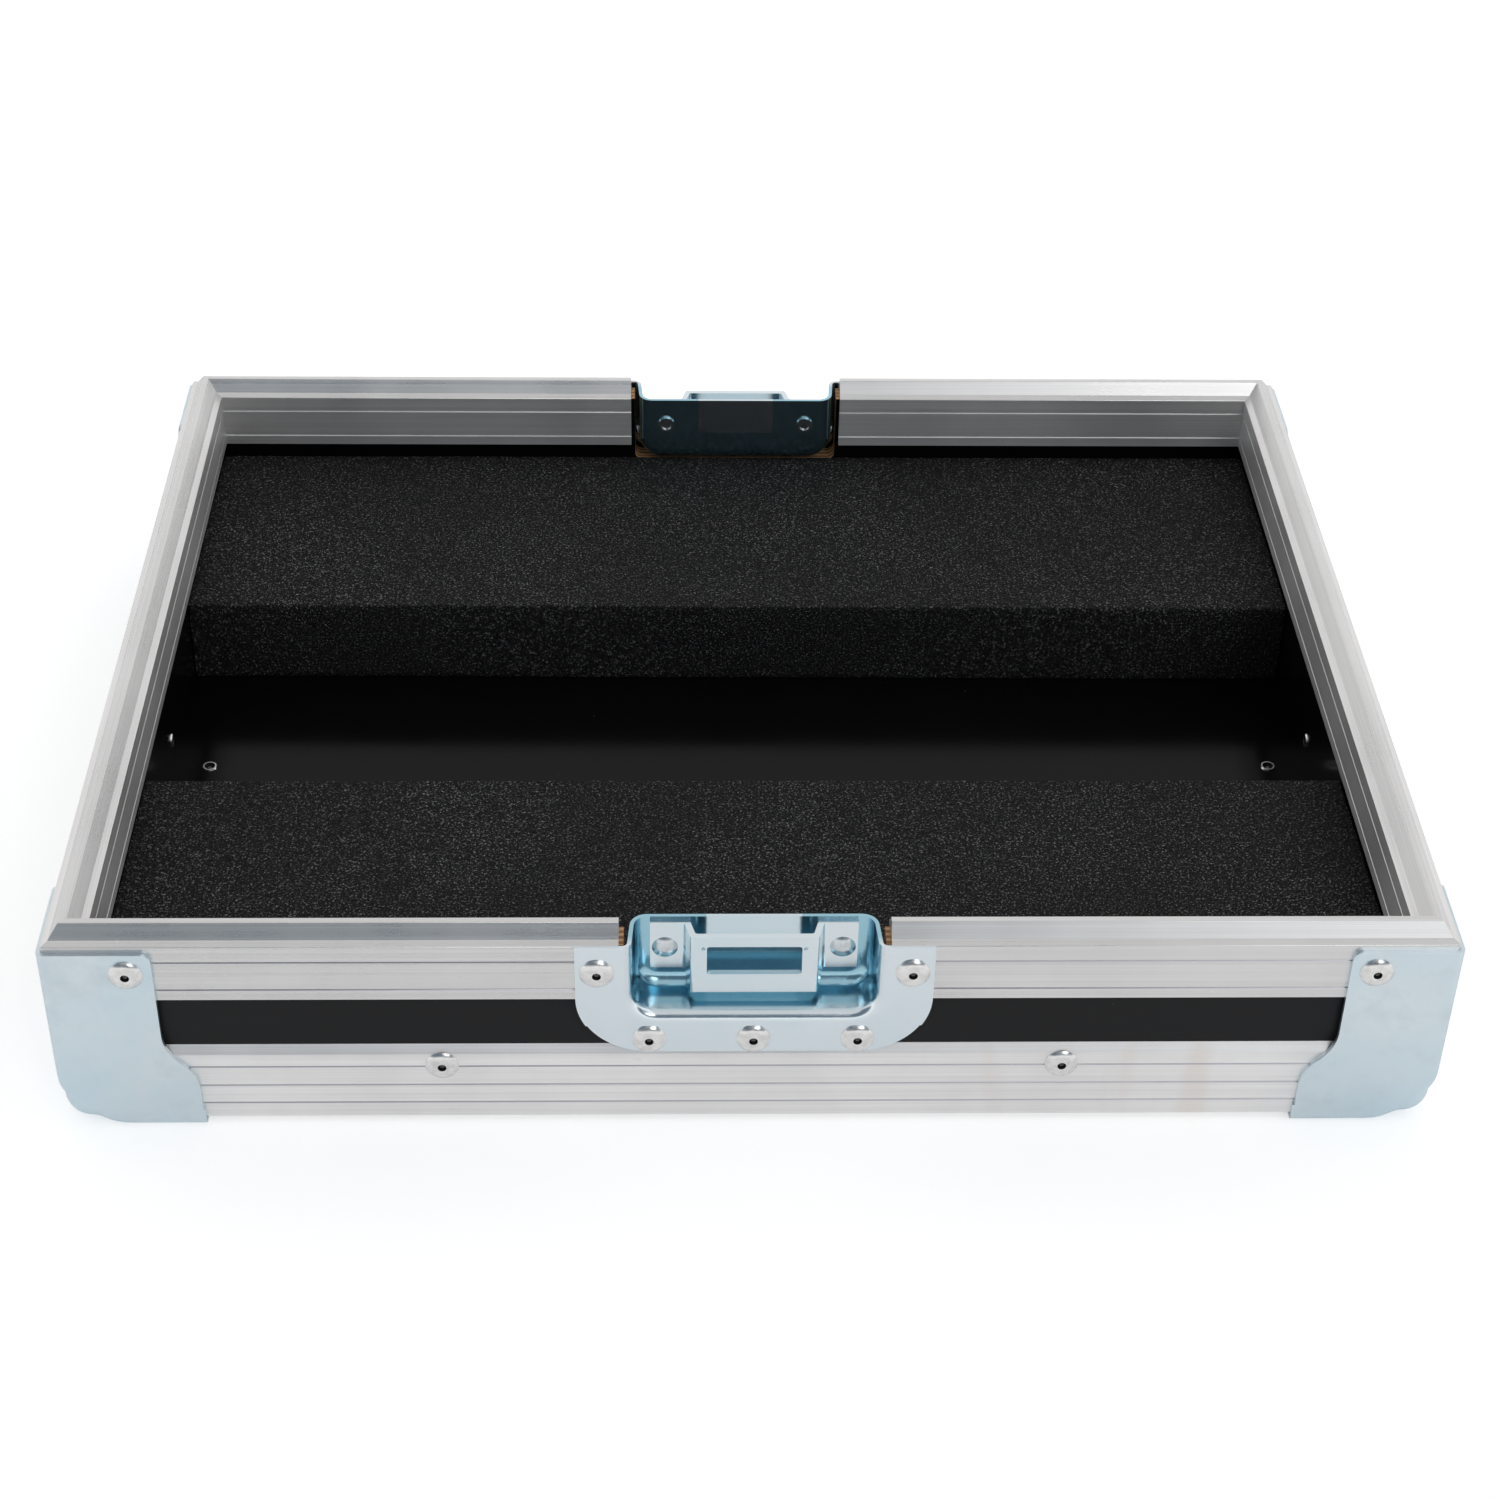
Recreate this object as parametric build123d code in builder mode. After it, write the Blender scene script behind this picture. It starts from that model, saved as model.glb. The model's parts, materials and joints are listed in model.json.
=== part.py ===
from build123d import *
import math
import os

# Base half of a mixer flight case: a shallow plywood tray edged with aluminium, with pressed
# steel corner braces and a recessed catch dish at the front and at the back.
# All sizes are in millimetres. X runs along the width, Y from front to back and Z up.
# The origin is midway between the sides, on the plane that the corner braces stand on.

# Case
case_width = 440.0
case_depth = 350.0
edge_height = 72.5
panel_thickness = 9.0
panel_fit = 0.1

# Bottom angle
angle_leg = 30.5
angle_wall = 2.0
angle_bevel = 2.8
angle_corner_radius = 1.0
angle_grooves = (6.9, 14.6, 22.5)

# Closing rail with its tongue
rail_leg = 21.4
rail_wall = 2.0
rail_ledge_width = 2.3
rail_ledge_rise = 1.1
rail_slope_width = 3.2
rail_slope_rise = 4.5
rail_edge_radius = 0.4
rail_tongue_radius = 0.5
rail_channel_depth = 0.8
rail_grooves = (6.1, 17.3)
panel_top_gap = 0.3

# Grooves that run along both extrusions
groove_width = 0.6
groove_depth = 0.3

# Corner brace
brace_sheet = 1.5
brace_foot_gap = 0.3
brace_ball_radius = 9.0
brace_edge_radius = 2.4
brace_blend_length = 6.0
brace_upper_width = 35.2
brace_lower_width = 45.3
brace_top_drop = 1.9
brace_top_corner = 3.0
brace_foot_step = 0.6
brace_foot_height = 7.2
brace_curve_start = 15.6
brace_curve_height = 23.0
brace_foot_corner = 18.0
brace_blend_steps = (0.0, 0.35, 0.7, 1.1, 1.6, 2.3)
corner_clearance = 0.1

# Catch dish
latch_rail_gap = 84.6
latch_panel_gap = 81.6
latch_panel_corner = 3.0
dish_sheet = 1.2
dish_flange_width = 112.0
dish_flange_height = 43.9
dish_flange_corner = 23.0
dish_top_rise = 0.5
dish_joggle_drop = 31.8
dish_joggle_depth = 0.8
dish_joggle_run = 0.6
dish_depth = 14.0
dish_half_width = 38.6
dish_floor_drop = 27.4
dish_corner_radius = 8.0
dish_wall_draft = 1.2
dish_floor_draft = 1.8
dish_back_radius = 4.2
dish_lip_radius = 3.4
dish_lip_back_radius = 1.6
dish_panel_clearance = 0.8

# Catch plate in the dish
catch_sheet = 2.0
catch_half_width = 32.7
catch_wing_end = 21.9
catch_bridge_half = 20.0
catch_bridge_offset = 6.9
catch_top_drop = 0.7
catch_wing_height = 18.1
catch_bridge_height = 22.5
catch_bend_radius = 0.9
catch_window_width = 29.8
catch_window_height = 11.2
catch_window_drop = 3.8
catch_window_corner = 0.9
catch_dimple_radius = 0.7
catch_dimple_depth = 0.8
catch_dimple_x = 16.0

# Blind rivets
rivet_head_radius = 5.4
rivet_head_height = 1.6
rivet_head_rim = 0.35
rivet_crown_radius = 2.7
rivet_bore_radius = 1.4
rivet_bore_depth = 3.6
rivet_shank_radius = 2.4
rivet_hole_clearance = 0.1
rivet_tail_radius = 2.75
rivet_tail_height = 0.5
rivet_tail_taper = 0.3
rivet_tail_bore_radius = 2.0
rivet_tail_bore_depth = 2.0
rivet_bite = 6.0
rivet_tip_clearance = 0.5
rail_rivet_drop = 9.8
angle_rivet_rise = 23.2
under_rivet_inset = 23.8
front_angle_rivet_x = 98.9
side_angle_rivet_y = -2.6
brace_rivet_inset = 25.5
dish_side_rivet_inset = 6.8
dish_low_rivet_x = 33.0
dish_low_rivet_drop = 37.9

# Solid rivets of the catch plate
catch_rivet_x = 28.0
catch_rivet_drop = 10.4
catch_rivet_head_radius = 4.1
catch_rivet_head_height = 1.3
catch_rivet_shank_radius = 2.2
catch_rivet_tail_radius = 3.5
catch_rivet_tail_height = 1.2
catch_rivet_tail_bore = 2.2
catch_rivet_tail_bore_depth = 0.8

# Foam blocks
foam_side_gap = 0.2
foam_depth = 110.0
foam_back_left_depth = 109.4
foam_back_right_depth = 111.3
foam_height = 33.5
foam_edge_radius = 0.8
foam_pocket_clearance = 0.6

# Spare length of cutting shapes past the face that they cut
cut_over = 1.0

# Levels and faces that follow from the sizes above
half_width = case_width / 2
half_depth = case_depth / 2
angle_z = brace_sheet + brace_foot_gap
rail_edge_z = angle_z + edge_height
base_z = angle_z + angle_wall + panel_fit
floor_z = base_z + panel_thickness
wall_top_z = rail_edge_z - rail_channel_depth - panel_top_gap
rail_width = panel_thickness + 2 * (rail_wall + panel_fit)
panel_half_width = half_width - angle_wall - panel_fit
panel_half_depth = half_depth - angle_wall - panel_fit
inner_half_width = panel_half_width - panel_thickness
inner_half_depth = panel_half_depth - panel_thickness
rivet_hole_radius = rivet_shank_radius + rivet_hole_clearance
rail_rivet_z = rail_edge_z - rail_rivet_drop
foam_half_length = inner_half_width - foam_side_gap
angle_rivet_z = angle_z + angle_rivet_rise
dish_top_z = rail_edge_z + dish_top_rise
dish_side_rivet_x = dish_flange_width / 2 - dish_side_rivet_inset
dish_low_rivet_z = rail_edge_z - dish_low_rivet_drop
catch_rivet_z = rail_edge_z - catch_rivet_drop
catch_top_z = rail_edge_z - catch_top_drop
case_top_z = rail_edge_z + rail_ledge_rise + rail_slope_rise
brace_top_z = rail_edge_z - brace_top_drop
brace_foot_reach = brace_lower_width + brace_foot_step
brace_reach = brace_foot_reach + cut_over
corner_x = -half_width - brace_sheet
corner_y = -half_depth - brace_sheet
through_grip = angle_wall + panel_fit + panel_thickness
brace_grip = brace_sheet + rail_wall + panel_fit + rivet_bite
dish_side_grip = dish_sheet + rail_wall + panel_fit + rivet_bite
dish_low_rise = dish_sheet - dish_joggle_depth
dish_low_grip = dish_low_rise + through_grip
panel_opening_z = rail_edge_z - dish_floor_drop - dish_sheet - dish_panel_clearance


def front_plane(x, z, out=0.0):
    """Plane on the front, its normal pointing out of the case, `out` proud of the rail face."""
    return Plane(origin=(x, -half_depth - out, z), x_dir=(1, 0, 0), z_dir=(0, -1, 0))


def left_plane(y, z, out=0.0):
    """Plane on the left side, its normal pointing out of the case."""
    return Plane(origin=(-half_width - out, y, z), x_dir=(0, -1, 0), z_dir=(-1, 0, 0))


def under_plane(x, y):
    """Plane on the underside of the bottom angles, its normal pointing down."""
    return Plane(origin=(x, y, angle_z), x_dir=(1, 0, 0), z_dir=(0, 0, -1))


# Where the rivets sit, as planes on the faces that carry their heads
angle_rivet_xs = (-front_angle_rivet_x, front_angle_rivet_x)
brace_rivet_x = half_width - brace_rivet_inset
brace_rivet_y = half_depth - brace_rivet_inset
front_angle_places = [front_plane(x, angle_rivet_z) for x in angle_rivet_xs]
front_under_places = [under_plane(x, -half_depth + under_rivet_inset) for x in angle_rivet_xs]
back_under_places = [under_plane(x, half_depth - under_rivet_inset) for x in angle_rivet_xs]
left_angle_places = [left_plane(side_angle_rivet_y, angle_rivet_z)]
left_under_places = [under_plane(-half_width + under_rivet_inset, side_angle_rivet_y)]
right_under_places = [under_plane(half_width - under_rivet_inset, side_angle_rivet_y)]
brace_front_places = [front_plane(x, rail_rivet_z, brace_sheet) for x in (-brace_rivet_x, brace_rivet_x)]
brace_side_places = [left_plane(y, rail_rivet_z, brace_sheet) for y in (-brace_rivet_y, brace_rivet_y)]
dish_side_places = [
    front_plane(x, rail_rivet_z, dish_sheet) for x in (-dish_side_rivet_x, dish_side_rivet_x)
]
dish_low_places = [
    front_plane(x, dish_low_rivet_z, dish_low_rise) for x in (-dish_low_rivet_x, 0, dish_low_rivet_x)
]
catch_places = [
    front_plane(x, catch_rivet_z, catch_sheet - dish_depth) for x in (-catch_rivet_x, catch_rivet_x)
]

# Alignments of a box on a point: above it, behind it or to its right
sit_above = (Align.CENTER, Align.CENTER, Align.MIN)
sit_behind = (Align.CENTER, Align.MIN, Align.MIN)
sit_right = (Align.MIN, Align.CENTER, Align.MIN)
sit_inside_corner = (Align.MIN, Align.MIN, Align.MIN)


def drill(places, depth, radius=rivet_hole_radius):
    """Round holes, from each place inwards."""
    with Locations(*places):
        Hole(radius, depth=depth)


def grooved(point_at, grooves):
    """Points of a face with V-grooves, where point_at(distance, depth) gives a point on it."""
    points = []
    for centre in grooves:
        points.append(point_at(centre - groove_width / 2, 0))
        points.append(point_at(centre, groove_depth))
        points.append(point_at(centre + groove_width / 2, 0))
    return points


def rail_section():
    """Closing rail: two legs round the panel's edge and a tongue on top, drawn from its outer edge."""
    outer = grooved(lambda drop, depth: (depth, -drop), rail_grooves)
    inner = grooved(lambda drop, depth: (rail_width - depth, -drop), rail_grooves)
    shoulder = rail_ledge_width + rail_slope_width
    tongue_top = rail_ledge_rise + rail_slope_rise
    with BuildLine() as outline:
        Polyline(
            (0, -rail_leg),
            *reversed(outer),
            (0, 0),
            (rail_ledge_width, rail_ledge_rise),
            (shoulder, tongue_top),
            (rail_width - shoulder, tongue_top),
            (rail_width - rail_ledge_width, rail_ledge_rise),
            (rail_width, 0),
            *inner,
            (rail_width, -rail_leg),
            (rail_width - rail_wall, -rail_leg),
            (rail_width - rail_wall, -rail_channel_depth),
            (rail_wall, -rail_channel_depth),
            (rail_wall, -rail_leg),
            close=True,
        )
    make_face(outline.edges())
    fillet(vertices().group_by(Axis.Y)[-1], radius=rail_tongue_radius)
    for edge_place in ((0, 0), (rail_width, 0)):
        fillet(vertices().sort_by_distance(edge_place)[0], radius=rail_edge_radius)


def angle_section():
    """Bottom angle: two equal legs with bevelled ends and grooved outer faces, drawn from its heel."""
    upright = grooved(lambda rise, depth: (depth, rise), angle_grooves)
    under = grooved(lambda run, depth: (run, depth), angle_grooves)
    with BuildLine() as outline:
        Polyline(
            (angle_corner_radius, 0),
            (0, angle_corner_radius),
            *upright,
            (0, angle_leg - angle_bevel),
            (angle_wall, angle_leg),
            (angle_wall, angle_wall),
            (angle_leg, angle_wall),
            (angle_leg - angle_bevel, 0),
            *reversed(under),
            close=True,
        )
    make_face(outline.edges())


def edge_radius_at(distance):
    """Outer radius of a brace's edge, easing from the ball at the corner to the plain bend."""
    ease = math.exp(-(((distance - brace_ball_radius) / brace_blend_length) ** 2))
    return brace_edge_radius + (brace_ball_radius - brace_edge_radius) * ease


def edge_waste_section(distance, inset):
    """Waste outside a rounded edge, whose two faces lie `inset` inside the brace's outer faces."""
    radius = edge_radius_at(distance)
    outside = inset - cut_over
    with BuildLine() as outline:
        Polyline(
            (inset, radius),
            (outside, radius),
            (outside, outside),
            (radius, outside),
            (radius, inset),
        )
        RadiusArc((radius, inset), (inset, radius), radius - inset)
    make_face(outline.edges())


def edge_planes():
    """Section plane at a distance along each edge of the front left corner, and the edge's length."""
    return (
        (lambda run: Plane((corner_x, corner_y, run), (1, 0, 0), (0, 0, 1)), case_top_z + cut_over),
        (lambda run: Plane((corner_x + run, corner_y, 0), (0, 1, 0), (1, 0, 0)), brace_reach),
        (lambda run: Plane((corner_x, corner_y + run, 0), (0, 0, 1), (0, 1, 0)), brace_reach),
    )


def corner_waste(inset):
    """What lies outside the ball and the three rounded edges of the front left corner."""
    stations = [brace_ball_radius + brace_blend_length * step for step in brace_blend_steps]
    ball_size = brace_ball_radius - inset + cut_over
    ball_centre = (corner_x + brace_ball_radius, corner_y + brace_ball_radius, brace_ball_radius)
    with BuildPart() as waste:
        with Locations(ball_centre):
            Box(ball_size, ball_size, ball_size, align=(Align.MAX, Align.MAX, Align.MAX))
            Sphere(brace_ball_radius - inset, mode=Mode.SUBTRACT)
        for plane_at, length in edge_planes():
            for station in stations:
                with BuildSketch(plane_at(station)):
                    edge_waste_section(station, inset)
            loft()
            with BuildSketch(plane_at(stations[-1])):
                edge_waste_section(stations[-1], inset)
            extrude(amount=length - stations[-1])
    return waste.part


def all_corners(piece):
    """A piece at the front left corner and its copies at the other three."""
    back = piece.mirror(Plane.XZ)
    return (piece, back, piece.mirror(Plane.YZ), back.mirror(Plane.YZ))


corner_relief = all_corners(corner_waste(brace_sheet + corner_clearance))


def clear_corners():
    """Round off the corners of the part being built, so that they fit inside the four braces."""
    for waste in corner_relief:
        add(waste, mode=Mode.SUBTRACT)


def brace_outline(corner):
    """Side of a brace: a narrow upper leg that sweeps out to a wider foot, from its outer corner."""
    upper = corner + brace_upper_width
    lower = corner + brace_lower_width
    curve_top = brace_curve_start + brace_curve_height
    middle = ((upper + lower) / 2, brace_curve_start + brace_curve_height / 2)
    with BuildLine() as outline:
        Polyline(
            (upper, curve_top),
            (upper, brace_top_z),
            (corner - cut_over, brace_top_z),
            (corner - cut_over, -cut_over),
            (corner + brace_foot_reach, -cut_over),
            (corner + brace_foot_reach, brace_foot_height),
            (lower, brace_foot_height),
            (lower, brace_curve_start),
        )
        sweep_out = TangentArc((lower, brace_curve_start), middle, tangent=(0, 1))
        TangentArc(middle, (upper, curve_top), tangent=sweep_out % 1)
    make_face(outline.edges())
    fillet(vertices().sort_by_distance((upper, brace_top_z))[0], radius=brace_top_corner)


def blind_rivet(grip, through):
    """Domed blind rivet with its head on the plane z = 0; a through rivet has a set tail at z = -grip."""
    with BuildPart() as rivet:
        with BuildSketch(Plane.XZ):
            with BuildLine():
                Polyline(
                    (rivet_head_radius, rivet_head_rim),
                    (rivet_head_radius, 0),
                    (rivet_shank_radius, 0),
                    (rivet_shank_radius, -grip),
                    (0, -grip),
                    (0, rivet_head_height - rivet_bore_depth),
                    (rivet_bore_radius, rivet_head_height - rivet_bore_depth),
                    (rivet_bore_radius, rivet_head_height),
                    (rivet_crown_radius, rivet_head_height),
                )
                TangentArc(
                    (rivet_crown_radius, rivet_head_height),
                    (rivet_head_radius, rivet_head_rim),
                    tangent=(1, 0),
                )
            make_face()
        revolve(axis=Axis.Z)
        if through:
            with BuildSketch(Plane.XY.offset(-grip)):
                Circle(rivet_tail_radius)
            with BuildSketch(Plane.XY.offset(-grip - rivet_tail_height)):
                Circle(rivet_tail_radius - rivet_tail_taper)
            loft()
            with Locations(Plane((0, 0, -grip - rivet_tail_height), z_dir=(0, 0, -1))):
                Hole(rivet_tail_bore_radius, depth=rivet_tail_bore_depth)
    return rivet.part


def catch_rivet():
    """Solid rivet with a low domed head and a rolled tail behind the dish wall."""
    grip = catch_sheet + dish_sheet
    tail_z = -grip - catch_rivet_tail_height
    hollow_z = tail_z + catch_rivet_tail_bore_depth
    with BuildPart() as rivet:
        with BuildSketch(Plane.XZ):
            with BuildLine():
                Polyline(
                    (catch_rivet_head_radius, 0),
                    (catch_rivet_shank_radius, 0),
                    (catch_rivet_shank_radius, -grip),
                    (catch_rivet_tail_radius, -grip),
                    (catch_rivet_tail_radius - rivet_tail_taper, tail_z),
                    (catch_rivet_tail_bore, tail_z),
                    (catch_rivet_tail_bore, hollow_z),
                    (0, hollow_z),
                    (0, catch_rivet_head_height),
                )
                TangentArc((0, catch_rivet_head_height), (catch_rivet_head_radius, 0), tangent=(1, 0))
            make_face()
        revolve(axis=Axis.Z)
    return rivet.part


def dish_block(front_y, grow):
    """Tapered block from front_y to the dish's back: its hollow, or with grow its sheet's outside."""
    with BuildPart() as block:
        for y, taper in ((front_y, 0), (dish_depth + grow, 1)):
            half = dish_half_width - taper * dish_wall_draft + grow
            bottom = rail_edge_z - dish_floor_drop + taper * dish_floor_draft - grow
            with BuildSketch(Plane.XZ.offset(half_depth - y)) as section:
                with Locations((0, bottom)):
                    Rectangle(2 * half, case_top_z + dish_depth - bottom, align=(Align.CENTER, Align.MIN))
                fillet(section.vertices().group_by(Axis.Y)[0], radius=dish_corner_radius + grow)
        loft(ruled=True)
        fillet(block.faces().sort_by(Axis.Y)[-1].edges(), radius=dish_back_radius + grow)
    return block.part


mitre_front_left = Plane((-half_width, -half_depth, 0), z_dir=(1, -1, 0))
mitre_front_right = Plane((half_width, -half_depth, 0), z_dir=(-1, -1, 0))
mitre_back_left = Plane((-half_width, half_depth, 0), z_dir=(-1, -1, 0))


# Plywood panels: the base lies under the four walls, and the front and back run past the sides

with BuildPart() as base_panel:
    with Locations((0, 0, base_z)):
        Box(2 * panel_half_width, 2 * panel_half_depth, panel_thickness, align=sit_above)
    clear_corners()
    drill(front_under_places + back_under_places + left_under_places + right_under_places, through_grip)

with BuildPart() as front_panel:
    with Locations((0, -panel_half_depth, floor_z)):
        Box(2 * panel_half_width, panel_thickness, wall_top_z - floor_z, align=sit_behind)
    with BuildSketch(Plane.XZ.offset(panel_half_depth + cut_over)) as latch_opening:
        with Locations((0, panel_opening_z)):
            Rectangle(latch_panel_gap, case_top_z, align=(Align.CENTER, Align.MIN))
        fillet(latch_opening.vertices().group_by(Axis.Y)[0], radius=latch_panel_corner)
    extrude(amount=-panel_thickness - 2 * cut_over, mode=Mode.SUBTRACT)
    clear_corners()
    drill(front_angle_places + dish_low_places, dish_low_grip)
    drill(brace_front_places, brace_grip + rivet_tip_clearance)
    drill(dish_side_places, dish_side_grip + rivet_tip_clearance)

with BuildPart() as left_panel:
    with Locations((-panel_half_width, 0, floor_z)):
        Box(panel_thickness, 2 * inner_half_depth, wall_top_z - floor_z, align=sit_right)
    drill(left_angle_places, through_grip)
    drill(brace_side_places, brace_grip + rivet_tip_clearance)

with BuildPart() as back_panel:
    mirror(front_panel.part, about=Plane.XZ)

with BuildPart() as right_panel:
    mirror(left_panel.part, about=Plane.YZ)


# Closing rails: mitred at the corners, and cut short on each side of the catch dishes

with BuildPart() as front_rail_left:
    with BuildSketch(Plane((-half_width, -half_depth, rail_edge_z), (0, 1, 0), (1, 0, 0))):
        rail_section()
    extrude(amount=half_width - latch_rail_gap / 2)
    split(bisect_by=mitre_front_left)
    clear_corners()
    drill(brace_front_places + dish_side_places, brace_grip)

with BuildPart() as front_rail_right:
    mirror(front_rail_left.part, about=Plane.YZ)

with BuildPart() as back_rail_left:
    mirror(front_rail_left.part, about=Plane.XZ)

with BuildPart() as back_rail_right:
    mirror(front_rail_right.part, about=Plane.XZ)

with BuildPart() as left_rail:
    with BuildSketch(Plane((-half_width, half_depth, rail_edge_z), (1, 0, 0), (0, -1, 0))):
        rail_section()
    extrude(amount=case_depth)
    split(bisect_by=mitre_front_left, keep=Keep.BOTTOM)
    split(bisect_by=mitre_back_left)
    clear_corners()
    drill(brace_side_places, brace_grip)

with BuildPart() as right_rail:
    mirror(left_rail.part, about=Plane.YZ)


# Bottom angles: mitred round the lower edge of the case

with BuildPart() as front_angle:
    with BuildSketch(Plane((-half_width, -half_depth, angle_z), (0, 1, 0), (1, 0, 0))):
        angle_section()
    extrude(amount=case_width)
    split(bisect_by=mitre_front_left)
    split(bisect_by=mitre_front_right)
    clear_corners()
    drill(front_angle_places + front_under_places, through_grip)

with BuildPart() as back_angle:
    mirror(front_angle.part, about=Plane.XZ)

with BuildPart() as left_angle:
    with BuildSketch(Plane((-half_width, half_depth, angle_z), (1, 0, 0), (0, -1, 0))):
        angle_section()
    extrude(amount=case_depth)
    split(bisect_by=mitre_front_left, keep=Keep.BOTTOM)
    split(bisect_by=mitre_back_left)
    clear_corners()
    drill(left_angle_places + left_under_places, through_grip)

with BuildPart() as right_angle:
    mirror(left_angle.part, about=Plane.YZ)


# Corner braces: one pressed sheet over the two sides and the underside of each corner

with BuildPart() as brace_hollow:
    with Locations((corner_x + brace_sheet, corner_y + brace_sheet, brace_sheet)):
        Box(brace_reach, brace_reach, case_top_z, align=sit_inside_corner)
    add(corner_waste(brace_sheet), mode=Mode.SUBTRACT)

with BuildPart() as front_left_brace:
    with Locations((corner_x, corner_y, 0)):
        Box(brace_reach, brace_reach, brace_top_z, align=sit_inside_corner)
    add(corner_waste(0), mode=Mode.SUBTRACT)
    add(brace_hollow.part, mode=Mode.SUBTRACT)
    with BuildSketch(Plane.XZ.offset(cut_over - corner_y)):
        brace_outline(corner_x)
    extrude(amount=-brace_reach - 2 * cut_over, mode=Mode.INTERSECT)
    with BuildSketch(Plane.YZ.offset(corner_x - cut_over)):
        brace_outline(corner_y)
    extrude(amount=brace_reach + 2 * cut_over, mode=Mode.INTERSECT)
    with BuildSketch() as foot:
        with Locations((corner_x, corner_y)):
            Rectangle(brace_foot_reach, brace_foot_reach, align=(Align.MIN, Align.MIN))
        fillet(foot.vertices().sort_by_distance((0, 0, 0))[0], radius=brace_foot_corner)
    extrude(amount=brace_top_z, mode=Mode.INTERSECT)
    drill(brace_front_places + brace_side_places, brace_grip)

with BuildPart() as back_left_brace:
    mirror(front_left_brace.part, about=Plane.XZ)

with BuildPart() as front_right_brace:
    mirror(front_left_brace.part, about=Plane.YZ)

with BuildPart() as back_right_brace:
    mirror(back_left_brace.part, about=Plane.YZ)


# Catch dish: a pressed recess in a riveted flange, whose lower strip steps in towards the panel

with BuildPart() as front_catch_dish:
    strip_out = dish_low_rise
    joggle_z = rail_edge_z - dish_joggle_drop
    flange_bottom_z = dish_top_z - dish_flange_height
    with BuildSketch(Plane.YZ.offset(-dish_flange_width / 2)):
        with BuildLine():
            Polyline(
                (-half_depth - dish_sheet, dish_top_z),
                (-half_depth, dish_top_z),
                (-half_depth, joggle_z),
                (-half_depth + dish_joggle_depth, joggle_z - dish_joggle_run),
                (-half_depth + dish_joggle_depth, flange_bottom_z),
                (-half_depth - strip_out, flange_bottom_z),
                (-half_depth - strip_out, joggle_z - dish_joggle_run),
                (-half_depth - dish_sheet, joggle_z),
                close=True,
            )
        make_face()
    extrude(amount=dish_flange_width)
    with BuildSketch(Plane.XZ.offset(half_depth + dish_sheet + cut_over)) as flange:
        with Locations((0, flange_bottom_z)):
            Rectangle(dish_flange_width, dish_flange_height, align=(Align.CENTER, Align.MIN))
        fillet(flange.vertices().group_by(Axis.Y)[0], radius=dish_flange_corner)
    extrude(amount=-dish_sheet - dish_joggle_depth - 2 * cut_over, mode=Mode.INTERSECT)
    add(dish_block(-dish_sheet / 2, dish_sheet))
    back_lip = edges().filter_by(lambda edge: abs(edge.center().Y + half_depth) < dish_joggle_depth / 4)
    back_lip = back_lip.filter_by(lambda edge: abs(edge.center().X) < latch_panel_gap / 2)
    fillet(back_lip, radius=dish_lip_back_radius)
    add(dish_block(-dish_sheet - cut_over, 0), mode=Mode.SUBTRACT)
    split(bisect_by=Plane.XY.offset(dish_top_z), keep=Keep.BOTTOM)
    front_lip = faces().filter_by(Axis.Y).sort_by(Axis.Y)[0].edges()
    front_lip = front_lip.filter_by(lambda edge: abs(edge.center().X) < dish_half_width + dish_sheet)
    front_lip = front_lip.filter_by(lambda edge: edge.center().Z > joggle_z + cut_over)
    fillet(front_lip, radius=dish_lip_radius)
    drill(dish_side_places + dish_low_places, dish_side_grip)
    drill(catch_places, catch_sheet + 2 * dish_sheet, catch_rivet_shank_radius)

with BuildPart() as back_catch_dish:
    mirror(front_catch_dish.part, about=Plane.XZ)


# Catch plate: two wings riveted to the back wall of the dish and a bridge with the hook's window

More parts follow.
